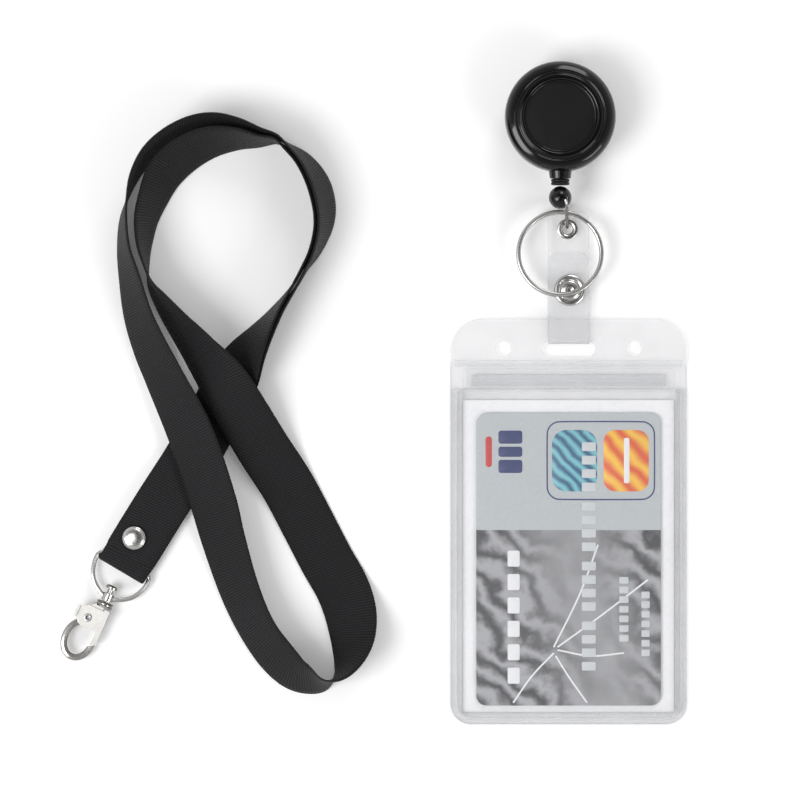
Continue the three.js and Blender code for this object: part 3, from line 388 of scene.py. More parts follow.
def softened_copy(node: str, name: str, rim: float, steps: int = 2) -> bpy.types.Object:
    """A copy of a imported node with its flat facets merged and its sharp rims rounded.

    Args:
        node: the node's name.
        name: the new piece's name.
        rim: width of the rounding in millimetres.
        steps: segments of the rounding.
    Returns:
        The object, which stands for the node.
    """
    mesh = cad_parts[node].data.copy()
    mesh.name = name
    mesh.materials.clear()
    obj = bpy.data.objects.new(name, mesh)
    bpy.context.scene.collection.objects.link(obj)
    work = bmesh.new()
    work.from_mesh(mesh)
    bmesh.ops.remove_doubles(work, verts=work.verts, dist=2e-6)
    bmesh.ops.dissolve_limit(work, angle_limit=FLAT_ANGLE, verts=work.verts, edges=work.edges)
    work.to_mesh(mesh)
    work.free()
    mesh.shade_smooth()
    mesh.set_sharp_from_angle(angle=RIM_ANGLE)
    bevel = obj.modifiers.new("soft rims", "BEVEL")
    bevel.width = rim * MM
    bevel.segments = steps
    bevel.limit_method = "ANGLE"
    bevel.angle_limit = RIM_ANGLE
    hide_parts(node)
    return obj


def box_of(node: str) -> tuple[Array, Array]:
    """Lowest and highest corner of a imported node, in millimetres."""
    low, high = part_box(node)
    return np.array(low) / MM, np.array(high) / MM


def centre_of(node: str) -> Array:
    """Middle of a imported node's box, in millimetres."""
    low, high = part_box(node)
    return (np.array(low) + np.array(high)) / 2 / MM


# ---------------------------------------------------------------- shader building
class Shader:
    """A material or group node tree, with short ways to add and join nodes."""

    def __init__(self, tree: bpy.types.NodeTree) -> None:
        """Keeps the tree that nodes are added to."""
        self.tree = tree

    def add(self, kind: str, **values: object) -> bpy.types.Node:
        """A new node with its properties set.

        Args:
            kind: the node's type name.
            values: property names and values.
        Returns:
            The node.
        """
        node = self.tree.nodes.new(kind)
        for key, value in values.items():
            setattr(node, key, value)
        return node

    def join(self, source: bpy.types.NodeSocket, target: bpy.types.NodeSocket) -> None:
        """Links an output to an input."""
        self.tree.links.new(source, target)

    def math(self, operation: str, a: object, b: object = 0.0, c: object = 0.0) -> bpy.types.NodeSocket:
        """A Math node on sockets or numbers.

        Args:
            operation: the operation's name.
            a: first value.
            b: second value.
            c: third value.
        Returns:
            The result.
        """
        node = self.add("ShaderNodeMath", operation=operation)
        for index, value in enumerate((a, b, c)):
            if isinstance(value, bpy.types.NodeSocket):
                self.join(value, node.inputs[index])
            else:
                node.inputs[index].default_value = value
        return node.outputs[0]

    def noise(self, vector: bpy.types.NodeSocket, scale: float, detail: float = 3.0) -> bpy.types.NodeSocket:
        """Value of a noise texture.

        Args:
            vector: the place.
            scale: the texture's scale.
            detail: its octaves.
        Returns:
            The factor output.
        """
        node = self.add("ShaderNodeTexNoise")
        node.inputs["Scale"].default_value = scale
        node.inputs["Detail"].default_value = detail
        self.join(vector, node.inputs["Vector"])
        return node.outputs["Fac"]

    def map_range(
        self, value: bpy.types.NodeSocket, low: float, high: float, out_low: float, out_high: float
    ) -> bpy.types.NodeSocket:
        """A clamped straight map of a value from one range to another.

        Args:
            value: the input.
            low: input that gives out_low.
            high: input that gives out_high.
            out_low: first result.
            out_high: last result.
        Returns:
            The result.
        """
        node = self.add("ShaderNodeMapRange")
        self.join(value, node.inputs["Value"])
        for key, number in zip(("From Min", "From Max", "To Min", "To Max"), (low, high, out_low, out_high)):
            node.inputs[key].default_value = number
        return node.outputs["Result"]

    def flanks(self, steep: float, flat: float, most: float) -> bpy.types.NodeSocket:
        """How much of a surface faces sideways in the piece's own frame, as a share.

        Args:
            steep: upward part of the normal at which the share is full.
            flat: upward part at which it is nothing.
            most: the full share.
        Returns:
            The share.
        """
        split = self.add("ShaderNodeSeparateXYZ")
        self.join(self.add("ShaderNodeTexCoord").outputs["Normal"], split.inputs[0])
        return self.map_range(self.math("ABSOLUTE", split.outputs[2]), steep, flat, most, 0.0)

    def mix(self, factor: object, a: object, b: object) -> bpy.types.NodeSocket:
        """A colour mix of sockets or plain colours.

        Args:
            factor: the share of b.
            a: first colour.
            b: second colour.
        Returns:
            The mixed colour.
        """
        node = self.add("ShaderNodeMix", data_type="RGBA")
        for socket, value in ((node.inputs[0], factor), (node.inputs[6], a), (node.inputs[7], b)):
            if isinstance(value, bpy.types.NodeSocket):
                self.join(value, socket)
            elif isinstance(value, tuple):
                socket.default_value = (*value, 1.0)
            else:
                socket.default_value = value
        return node.outputs[2]

    def group(self, tree: bpy.types.NodeTree, **inputs: object) -> bpy.types.Node:
        """A group node with its inputs set or linked.

        Args:
            tree: the group.
            inputs: input names, with _ for a space, and their values.
        Returns:
            The node.
        """
        node = self.add("ShaderNodeGroup", node_tree=tree)
        for key, value in inputs.items():
            socket = node.inputs[key.replace("_", " ")]
            if isinstance(value, bpy.types.NodeSocket):
                self.join(value, socket)
            else:
                socket.default_value = value
        return node

    def bump(self, height: bpy.types.NodeSocket, distance: float, strength: float) -> bpy.types.NodeSocket:
        """A Bump node over a height.

        Args:
            height: the height value.
            distance: its size in metres.
            strength: how much of it shows.
        Returns:
            The normal.
        """
        node = self.add("ShaderNodeBump")
        node.inputs["Distance"].default_value = distance
        node.inputs["Strength"].default_value = strength
        self.join(height, node.inputs["Height"])
        return node.outputs["Normal"]


def new_group(name: str, inputs: dict[str, float | None], outputs: Sequence[str]) -> tuple:
    """A shader group with a Vector input, float inputs and float outputs.

    Args:
        name: the group's name.
        inputs: float inputs and their defaults.
        outputs: float output names.
    Returns:
        The tree, its Shader, its input node and its output node.
    """
    tree = bpy.data.node_groups.new(name, "ShaderNodeTree")
    tree.interface.new_socket("Vector", in_out="INPUT", socket_type="NodeSocketVector")
    for key, value in inputs.items():
        socket = tree.interface.new_socket(key, in_out="INPUT", socket_type="NodeSocketFloat")
        socket.default_value = value
    for key in outputs:
        tree.interface.new_socket(key, in_out="OUTPUT", socket_type="NodeSocketFloat")
    shader = Shader(tree)
    return tree, shader, shader.add("NodeGroupInput"), shader.add("NodeGroupOutput")


def handling_wear() -> bpy.types.NodeTree:
    """Fine hairline scratches and soft smudges, as masks from 0 to 1, on object places.

    Returns:
        The group with outputs Scratches, Smudges and Grain.
    """
    tree, s, inside, out = new_group("handling_wear", {"Scale": 1.0}, ["Scratches", "Smudges", "Grain"])
    spread = s.add("ShaderNodeVectorMath", operation="SCALE")
    s.join(inside.outputs["Vector"], spread.inputs[0])
    s.join(inside.outputs["Scale"], spread.inputs["Scale"])
    stretch = s.add("ShaderNodeMapping")
    stretch.inputs["Rotation"].default_value = (0.0, 0.0, 0.7)
    stretch.inputs["Scale"].default_value = (1.0, 14.0, 1.0)
    s.join(spread.outputs[0], stretch.inputs["Vector"])
    hair = s.noise(stretch.outputs["Vector"], 420.0, 2.0)
    s.join(s.map_range(hair, 0.66, 0.74, 0.0, 1.0), out.inputs["Scratches"])
    s.join(s.map_range(s.noise(spread.outputs[0], 90.0, 4.0), 0.35, 0.7, 0.0, 1.0), out.inputs["Smudges"])
    s.join(s.noise(spread.outputs[0], 2600.0, 2.0), out.inputs["Grain"])
    return tree


def ribbed_weave() -> bpy.types.NodeTree:
    """Ribbed webbing on a pattern whose second number runs along the ribbon in centimetres.

    Returns:
        The group with outputs Height, Rib and Fleck.
    """
    tree, s, inside, out = new_group(
        "ribbed_weave", {"Rib pitch": 0.075, "Yarn pitch": 0.06}, ["Height", "Rib", "Fleck"]
    )
    split = s.add("ShaderNodeSeparateXYZ")
    s.join(inside.outputs["Vector"], split.inputs[0])
    across, along = split.outputs[0], split.outputs[1]
    lean = s.math("MULTIPLY_ADD", across, 0.12, along)
    rib_turn = s.math("DIVIDE", lean, inside.outputs["Rib pitch"])
    rib = s.math("MULTIPLY_ADD", s.math("COSINE", s.math("MULTIPLY", rib_turn, 2 * math.pi)), 0.5, 0.5)
    row = s.math("FLOOR", s.math("ADD", rib_turn, 0.5))
    stagger = s.math("MULTIPLY", s.math("MODULO", row, 2.0), 0.5)
    yarn_turn = s.math("ADD", s.math("DIVIDE", across, inside.outputs["Yarn pitch"]), stagger)
    yarn = s.math("MULTIPLY_ADD", s.math("COSINE", s.math("MULTIPLY", yarn_turn, 2 * math.pi)), 0.5, 0.5)
    knot = s.math("MULTIPLY", s.math("MULTIPLY", yarn, rib), 0.55)
    height = s.math("ADD", s.math("MULTIPLY", rib, 0.45), knot)
    s.join(height, out.inputs["Height"])
    s.join(rib, out.inputs["Rib"])
    s.join(s.noise(inside.outputs["Vector"], 26.0, 3.0), out.inputs["Fleck"])
    return tree


WEAR = handling_wear()
WEAVE = ribbed_weave()


@dataclass(frozen=True)
class Finish:
    """What every finish has: a name, the slot it belongs to, its colour and its roughness."""

    name: str
    slot: Slot
    colour: Colour
    roughness: float

    def start(self) -> tuple[bpy.types.Material, Shader, bpy.types.Node, bpy.types.NodeSocket]:
        """An empty material with its Principled shader.

        Returns:
            The material, its Shader, the Principled node and the object places.
        """
        material = bpy.data.materials.new(self.name)
        material.use_nodes = True
        shader = Shader(material.node_tree)
        principled = material.node_tree.nodes["Principled BSDF"]
        principled.inputs["Base Color"].default_value = (*self.colour, 1.0)
        principled.inputs["Roughness"].default_value = self.roughness
        place = shader.add("ShaderNodeTexCoord").outputs["Object"]
        material.diffuse_color = (*self.colour, 1.0)
        return material, shader, principled, place

    def worn(
        self, s: Shader, principled: bpy.types.Node, place: bpy.types.NodeSocket, scale: float, scratch: float
    ) -> bpy.types.Node:
        """Roughness that grows in smudges and scratches.

        Args:
            s: the material's Shader.
            principled: the Principled node.
            place: the object places.
            scale: how fine the wear is.
            scratch: how much a scratch adds.
        Returns:
            The wear group's node.
        """
        wear = s.group(WEAR, Vector=place, Scale=scale)
        dull = s.math("MULTIPLY_ADD", wear.outputs["Smudges"], 0.1, self.roughness)
        duller = s.math("MULTIPLY_ADD", wear.outputs["Scratches"], scratch, dull)
        s.join(duller, principled.inputs["Roughness"])
        return wear

    def build(self) -> bpy.types.Material:
        """The finished material; each kind of finish has its own."""
        raise NotImplementedError


@dataclass(frozen=True)
class MouldedPlastic(Finish):
    """Injection-moulded plastic: faint grain, smudges that dull the gloss, and hairline scratches."""

    grain: float = 0.1
    coat: float = 0.0

    def build(self) -> bpy.types.Material:
        """Builds the plastic: paler in its scratches, with a fine grain and a coat.

        Returns:
            The material.
        """
        material, s, principled, place = self.start()
        wear = self.worn(s, principled, place, 1.0, 0.12)
        worn = tuple(min(1.0, c * 1.8 + 0.01) for c in self.colour)
        s.join(s.mix(s.math("MULTIPLY", wear.outputs["Scratches"], 0.5), self.colour, worn),
               principled.inputs["Base Color"])
        s.join(s.bump(wear.outputs["Grain"], 0.00003, self.grain), principled.inputs["Normal"])
        principled.inputs["Specular IOR Level"].default_value = 0.3
        principled.inputs["Coat Weight"].default_value = self.coat
        principled.inputs["Coat Roughness"].default_value = 0.08
        return material


@dataclass(frozen=True)
class PlatedMetal(Finish):
    """Bright plated metal with soft polishing smudges, fine scratches, and flanks painted darker as painted
    shade.
    """

    waviness: float = 0.12
    # share of painted shade mixed onto faces that turn sideways
    painted_flank_shade: float = 0.8

    def build(self) -> bpy.types.Material:
        """Builds the metal: darker where it is smudged, darker on its flanks as painted shade, and slightly
        wavy.

        Returns:
            The material.
        """
        material, s, principled, place = self.start()
        principled.inputs["Metallic"].default_value = 1.0
        wear = self.worn(s, principled, place, 1.4, 0.15)
        dark = tuple(c * 0.78 for c in self.colour)
        face = s.mix(s.math("MULTIPLY", wear.outputs["Smudges"], 0.45), self.colour, dark)
        # painted shade: faces that turn sideways are mixed towards a near-black colour
        lean = s.flanks(0.5, 0.97, self.painted_flank_shade)
        s.join(s.mix(lean, face, (0.07, 0.06, 0.055)), principled.inputs["Base Color"])
        height = s.math("ADD", wear.outputs["Smudges"], s.math("MULTIPLY", wear.outputs["Grain"], 0.12))
        s.join(s.bump(height, 0.00005, self.waviness), principled.inputs["Normal"])
        return material


@dataclass(frozen=True)
class ClearVinyl(Finish):
    """Clear soft vinyl: mostly see-through, with painted edge shade that makes it denser and greyer where it
    turns away, faintly rippled.
    """

    density: float = 0.12
    rim: float = 0.55
    ripple: float = 0.25
    edge: float = 0.45

    def build(self) -> bpy.types.Material:
        """Builds the vinyl: denser where it turns away from the view, and greyer and denser on its flanks,
        both as painted edge shade.

        Returns:
            The material.
        """
        material, s, principled, place = self.start()
        principled.inputs["IOR"].default_value = 1.53
        facing = s.add("ShaderNodeLayerWeight")
        facing.inputs["Blend"].default_value = 0.35
        wear = s.group(WEAR, Vector=place, Scale=0.6)
        # painted edge shade: the sheet is made denser where it turns away from the view
        turned_away = s.math("POWER", facing.outputs["Facing"], 1.6)
        body = s.math("MULTIPLY_ADD", wear.outputs["Smudges"], self.density * 0.35, self.density)
        # painted shade: steep flanks get more opacity and a darker grey
        painted_flank_shade = s.flanks(0.45, 0.96, 1.0)
        density_and_edge_shade = s.math("MULTIPLY_ADD", turned_away, self.rim, body)
        s.join(s.math("MULTIPLY_ADD", painted_flank_shade, self.edge, density_and_edge_shade), principled.inputs["Alpha"])
        s.join(s.mix(painted_flank_shade, self.colour, (0.30, 0.31, 0.33)), principled.inputs["Base Color"])
        s.join(s.math("MULTIPLY_ADD", wear.outputs["Smudges"], 0.12, self.roughness),
               principled.inputs["Roughness"])
        waves = s.noise(place, 55.0, 3.0)
        s.join(s.bump(waves, 0.0008, self.ripple), principled.inputs["Normal"])
        return material


@dataclass(frozen=True)
class RibbedNylon(Finish):
    """Ribbed nylon webbing that follows the ribbon, with a soft sheen and rib crests painted paler as painted
    highlight, with painted shade between the ribs.
    """

    painted_crest_light: Colour = (0.021, 0.021, 0.025)
    rib_pitch: float = 0.075
    yarn_pitch: float = 0.09
    selvedge: float = 0.71

    def build(self) -> bpy.types.Material:
        """Builds the webbing: paler by the height of its weave as painted highlight on the crests and painted
        shade between them, less so near its selvedges.

        Returns:
            The material.
        """
        material, s, principled, _ = self.start()
        pattern = s.add("ShaderNodeUVMap", uv_map="pattern").outputs["UV"]
        weave = s.group(WEAVE, Vector=pattern, Rib_pitch=self.rib_pitch, Yarn_pitch=self.yarn_pitch)
        split = s.add("ShaderNodeSeparateXYZ")
        s.join(pattern, split.inputs[0])
        from_middle = s.math("ABSOLUTE", split.outputs[0])
        inner = s.map_range(from_middle, self.selvedge, self.selvedge + 0.03, 1.0, 0.25)
        fleck = s.map_range(weave.outputs["Fleck"], 0.35, 0.65, 0.3, 1.0)
        # painted highlight on the weave's crests, varied by a random fleck, which leaves painted shade
        # between the ribs
        light = s.math("MULTIPLY", s.math("MULTIPLY", weave.outputs["Height"], fleck), inner)
        s.join(s.mix(light, self.colour, self.painted_crest_light), principled.inputs["Base Color"])
        s.join(s.map_range(weave.outputs["Rib"], 0.0, 1.0, min(1.0, self.roughness + 0.12), self.roughness),
               principled.inputs["Roughness"])
        s.join(s.bump(weave.outputs["Height"], 0.00016, 0.9), principled.inputs["Normal"])
        principled.inputs["Sheen Weight"].default_value = 0.03
        principled.inputs["Specular IOR Level"].default_value = 0.28
        principled.inputs["Sheen Roughness"].default_value = 0.5
        return material


@dataclass(frozen=True)
class PlainPaper(Finish):
    """Smooth white card stock with a faint fibre mottle."""

    def build(self) -> bpy.types.Material:
        """Builds the paper: its fibres show as a faint mottle and a slight relief.

        Returns:
            The material.
        """
        material, s, principled, place = self.start()
        fibre = s.noise(place, 900.0, 5.0)
        shade = tuple(c * 0.95 for c in self.colour)
        s.join(s.mix(s.map_range(fibre, 0.35, 0.65, 0.0, 1.0), self.colour, shade),
               principled.inputs["Base Color"])
        s.join(s.bump(fibre, 0.00002, 0.3), principled.inputs["Normal"])
        return material


@dataclass(frozen=True)
class PrintedCard(Finish):
    """A plastic card: a satin silver band above a greyscale print of soft hills."""

    middle: float = 0.0
    split: float = 0.0

    def build(self) -> bpy.types.Material:
        """Builds the card: the silver band above and the print of hills below.

        Returns:
            The material.
        """
        material, s, principled, place = self.start()
        split = s.add("ShaderNodeSeparateXYZ")
        s.join(place, split.inputs[0])
        east = s.math("SUBTRACT", split.outputs[0], self.middle)
        north = s.math("SUBTRACT", split.outputs[1], self.split)
        folds = s.add("ShaderNodeTexWave", wave_type="BANDS", bands_direction="DIAGONAL")
        folds.inputs["Scale"].default_value = 60.0
        folds.inputs["Distortion"].default_value = 9.0
        folds.inputs["Detail"].default_value = 4.0
        folds.inputs["Detail Scale"].default_value = 1.4
        s.join(place, folds.inputs["Vector"])
        valley = s.math("ABSOLUTE", s.math("MULTIPLY_ADD", north, 0.25, s.math("MULTIPLY", east, 1.0)))
        slope = s.map_range(valley, 0.002, 0.02, 0.0, 1.0)
        rock = s.mix(folds.outputs["Fac"], (0.06, 0.06, 0.065), (0.42, 0.42, 0.44))
        plain = s.mix(s.noise(place, 120.0, 4.0), (0.20, 0.20, 0.21), (0.48, 0.48, 0.50))
        hills = s.mix(slope, plain, rock)
        silver = s.mix(s.noise(place, 1500.0, 2.0), (0.46, 0.49, 0.51), (0.56, 0.59, 0.61))
        band = s.math("GREATER_THAN", north, 0.0)
        s.join(s.mix(band, hills, silver), principled.inputs["Base Color"])
        s.join(s.math("MULTIPLY_ADD", band, 0.08, self.roughness), principled.inputs["Roughness"])
        principled.inputs["Coat Weight"].default_value = 0.3
        principled.inputs["Coat Roughness"].default_value = 0.15
        return material


@dataclass(frozen=True)
class PrintedInk(Finish):
    """A patch of printed ink, with a fine screen in its tone."""

    second: Colour = (0.5, 0.5, 0.5)
    bands: float = 0.0

    def build(self) -> bpy.types.Material:
        """Builds the ink: two colours mixed by bands or, where there are none, by noise.

        Returns:
            The material.
        """
        material, s, principled, place = self.start()
        if self.bands:
            waves = s.add("ShaderNodeTexWave", wave_type="BANDS", bands_direction="DIAGONAL")
            waves.inputs["Scale"].default_value = self.bands
            waves.inputs["Distortion"].default_value = 3.0
            s.join(place, waves.inputs["Vector"])
            tone = waves.outputs["Fac"]
        else:
            tone = s.noise(place, 700.0, 2.0)
        s.join(s.mix(tone, self.colour, self.second), principled.inputs["Base Color"])
        return material


@dataclass(frozen=True)
class Finishes:
    """Every finish of the object, built once."""

    webbing: Finish = RibbedNylon("black ribbed nylon", Slot.WEBBING, (0.002, 0.002, 0.0025), 0.62)
    cord: Finish = MouldedPlastic("braided cord", Slot.CORD, (0.02, 0.02, 0.022), 0.7, grain=0.6)
    gloss: Finish = MouldedPlastic("gloss black plastic", Slot.BLACK, (0.003, 0.003, 0.0035), 0.1, coat=0.25)
    satin: Finish = MouldedPlastic("satin black plastic", Slot.BLACK, (0.003, 0.003, 0.0035), 0.4, grain=0.5)
    inner: Finish = MouldedPlastic("grey inner plastic", Slot.INNER, (0.03, 0.03, 0.033), 0.5, grain=0.4)
    nickel: Finish = PlatedMetal("bright nickel", Slot.NICKEL, (0.84, 0.83, 0.81), 0.17)
    hook: Finish = PlatedMetal("plated hook metal", Slot.NICKEL, (0.66, 0.645, 0.62), 0.2, painted_flank_shade=0.82)
    ring: Finish = PlatedMetal("bright spring wire", Slot.NICKEL, (0.86, 0.85, 0.83), 0.24)
    steel: Finish = PlatedMetal("plain steel", Slot.STEEL, (0.55, 0.55, 0.56), 0.3)
    vinyl: Finish = ClearVinyl("clear vinyl", Slot.VINYL, (0.75, 0.75, 0.77), 0.16, density=0.16, rim=0.2)
    window: Finish = ClearVinyl("window vinyl", Slot.VINYL, (0.70, 0.71, 0.73), 0.14, density=0.05, rim=0.12)
    strap: Finish = ClearVinyl(
        "frosted strap vinyl", Slot.VINYL, (0.80, 0.80, 0.82), 0.22, density=0.13, rim=0.2
    )
    weld: Finish = ClearVinyl("welded vinyl", Slot.VINYL, (0.82, 0.83, 0.85), 0.2, density=0.12, rim=0.2)
    paper: Finish = PlainPaper("white paper", Slot.PAPER, (0.93, 0.93, 0.95), 0.75)


LOOK = Finishes()
_built: dict[str, bpy.types.Material] = {}


def dress(obj: bpy.types.Object, finish: Finish) -> bpy.types.Object:
    """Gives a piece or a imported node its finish.

    Args:
        obj: the piece.
        finish: the finish, built at its first use.
    Returns:
        The piece.
    """
    if finish.name not in _built:
        _built[finish.name] = finish.build()
    obj.data.materials.clear()
    obj.data.materials.append(_built[finish.name])
    return obj


def settle(obj: bpy.types.Object, body: str, finish: Finish, *nodes: str) -> bpy.types.Object:
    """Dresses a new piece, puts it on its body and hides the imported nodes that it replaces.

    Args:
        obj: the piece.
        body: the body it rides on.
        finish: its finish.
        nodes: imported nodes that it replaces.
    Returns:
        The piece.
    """
    dress(obj, finish)
    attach(obj, body)
    if nodes:
        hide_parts(*nodes)
    log.info("piece %s rides on %s with %s", obj.name, body, finish.name)
    return obj


def soften(node: str, name: str, body: str, finish: Finish, rim: float, steps: int = 2) -> None:
    """Puts a copy of a node with rounded rims in its place.

    Args:
        node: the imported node.
        name: the new piece's name.
        body: the body it rides on.
        finish: its finish.
        rim: width of the rounding in millimetres.
        steps: segments of the rounding.
    """
    settle(softened_copy(node, name, rim, steps), body, finish)


def keep(node: str, finish: Finish) -> None:
    """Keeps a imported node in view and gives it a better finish."""
    dress(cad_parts[node], finish)
    log.info("node %s keeps its shape with %s", node, finish.name)


# ---------------------------------------------------------------- studio
@dataclass
class Studio:
    """A pale floor, soft lights and a camera straight above. Metres, but the floor is in millimetres."""

    middle: tuple[float, float] = (0.0077, -0.0018)
    view_width: float = 0.2343
    distance: float = 1.3
    sensor: float = 36.0
    floor_radius: float = 4000.0
    floor_level: float = -0.02
    floor_sides: int = 64

    def camera(self) -> None:
        """Makes the camera that looks straight down."""
        data = bpy.data.cameras.new("camera")
        data.sensor_width = self.sensor
        data.lens = self.sensor * self.distance / self.view_width
        data.clip_start, data.clip_end = 0.05, 10.0
        camera = bpy.data.objects.new("camera", data)
        camera.location = (*self.middle, self.distance)
        bpy.context.scene.collection.objects.link(camera)
        bpy.context.scene.camera = camera

    def floor(self) -> None:
        """Makes the floor: a circle of points at one height, just below the object."""
        sides, radius = self.floor_sides, self.floor_radius
        turns = np.linspace(0, 2 * np.pi, sides, endpoint=False)
        level = np.full(sides, self.floor_level)
        rim = np.stack([radius * np.cos(turns), radius * np.sin(turns), level], axis=-1)
        floor = new_piece("studio_floor", rim, [list(range(sides))])
        material = bpy.data.materials.new("studio paper")
        material.use_nodes = True
        principled = material.node_tree.nodes["Principled BSDF"]
        principled.inputs["Base Color"].default_value = (0.93, 0.93, 0.93, 1.0)
        principled.inputs["Roughness"].default_value = 0.9
        principled.inputs["Specular IOR Level"].default_value = 0.1
        principled.inputs["Emission Color"].default_value = (1.0, 1.0, 1.0, 1.0)
        principled.inputs["Emission Strength"].default_value = 0.09
        floor.data.materials.append(material)

    def light(self, name: str, place: Sequence[float], size: float, power: float) -> None:
        """A square area light that faces the middle of the object.

        Args:
            name: the light's name.
            place: where it hangs.
            size: its side.
            power: its power in watts.
        """
        data = bpy.data.lights.new(name, "AREA")
        data.shape = "SQUARE"
        data.size = size
        data.energy = power
        light = bpy.data.objects.new(name, data)
        light.location = place
        aim = Vector((*self.middle, 0.0)) - Vector(place)
        light.rotation_mode = "QUATERNION"
        light.rotation_quaternion = aim.to_track_quat("-Z", "Y")
        bpy.context.scene.collection.objects.link(light)

    def lights(self) -> None:
        """Hangs four soft boxes and a bright horizon under a dimmer zenith."""
        self.light("key box", (-0.55, -0.25, 0.75), 0.45, 4.9)
        self.light("overhead panel", (-0.28, -0.03, 1.0), 0.46, 1.0)
        self.light("side box", (0.6, -0.45, 0.55), 0.35, 1.8)
        self.light("back box", (0.25, 0.75, 0.6), 0.35, 1.8)
        world = bpy.data.worlds.new("studio")
        world.use_nodes = True
        shader = Shader(world.node_tree)
        background = world.node_tree.nodes["Background"]
        split = shader.add("ShaderNodeSeparateXYZ")
        shader.join(shader.add("ShaderNodeTexCoord").outputs["Generated"], split.inputs[0])
        shader.join(shader.map_range(split.outputs[2], 0.5, 0.97, 0.7, 0.05), background.inputs["Strength"])
        background.inputs["Color"].default_value = (1.0, 1.0, 1.0, 1.0)
        bpy.context.scene.world = world
        bpy.context.scene.view_settings.view_transform = "Standard"
        bpy.context.scene.cycles.transparent_max_bounces = 32

    def build(self) -> None:
        """Makes the whole studio."""
        self.camera()
        self.floor()
        self.lights()


# ---------------------------------------------------------------- lanyard
TAIL_ROUTE = [
    [-71.6, -47.3, 0, 1.9], [-69.7, -44.1, 0, 1.8], [-62.1, -31.8, 0, 1.5], [-54.0, -19.1, 0, 0.4],
    [-47.7, -7.8, 4, 0.1], [-40.7, 5.4, 24, 0.1], [-34.3, 15.7, 60, 0.1], [-28.5, 24.2, 80, 0.1],
    [-23.4, 31.5, 88, 0.1], [-20.3, 37.0, 90, 0.1], [-18.2, 40.3, 94, 0.1], [-16.0, 45.4, 100, 0.1],
    [-14.8, 50.5, 106, 0.1], [-14.9, 55.6, 110, 0.1], [-16.7, 62.0, 110, 0.1], [-20.8, 68.3, 103, 0.1],
    [-25.5, 72.2, 94, 0.1], [-28.7, 74.4, 88, 0.1],
]
LEGS_ROUTE = [
    [-33.6, 75.9, 80, 0.1], [-39.8, 77.9, 74, 0.1], [-46.6, 78.9, 70, 0.1], [-53.0, 78.0, 70, 0.1],
    [-60.0, 74.9, 73, 0.1], [-65.8, 70.1, 77, 0.1], [-69.9, 63.6, 84, 0.1], [-72.1, 56.9, 93, 0.1],
    [-73.2, 50.8, 100, 0.1], [-73.1, 42.7, 106, 0.1], [-71.3, 33.4, 116, 0.1], [-68.9, 22.8, 125, 0.3],
    [-65.3, 13.3, 133, 1.0], [-61.6, 5.5, 138, 2.2], [-53.6, -11.7, 150, 3.8], [-47.0, -31.3, 152, 3.9],
    [-44.3, -41.7, 147, 2.0], [-39.1, -58.0, 140, 0.1], [-33.9, -69.0, 136, 0.1], [-28.4, -76.6, 137, 0.1],
    [-23.7, -81.1, 132, 0.1], [-19.6, -83.0, 124, 0.1], [-14.9, -84.0, 106, 0.1], [-12.0, -83.0, 90, 0.1],
    [-9.4, -80.7, 74, 0.1], [-7.3, -76.7, 56, 0.1], [-6.3, -71.3, 36, 0.1], [-7.1, -63.7, 14, 0.1],
    [-9.5, -56.7, 2, 0.1], [-14.1, -48.5, 0, 0.1], [-19.6, -37.9, 0, 0.1], [-25.5, -26.8, 0, 0.6],
    [-32.4, -16.0, 3, 2.8], [-37.8, -6.9, 9, 4.8], [-43.9, 3.4, 22, 6.0], [-50.4, 11.7, 44, 3.0],
    [-55.9, 18.7, 58, 0.6], [-62.0, 27.0, 72, 0.1], [-65.4, 32.4, 83, 0.1], [-66.6, 37.6, 92, 0.1],
    [-67.2, 43.9, 103, 0.1], [-66.6, 51.1, 113, 0.1], [-64.8, 56.8, 120, 0.1], [-62.0, 63.2, 128, 0.1],
    [-57.8, 68.0, 130, 0.1], [-52.4, 71.7, 127, 0.1], [-46.9, 73.8, 121, 0.1], [-40.4, 74.5, 111, 0.1],
    [-33.9, 73.9, 100, 0.1],
]
DRAWN_STUD = (-70.3, -41.9)


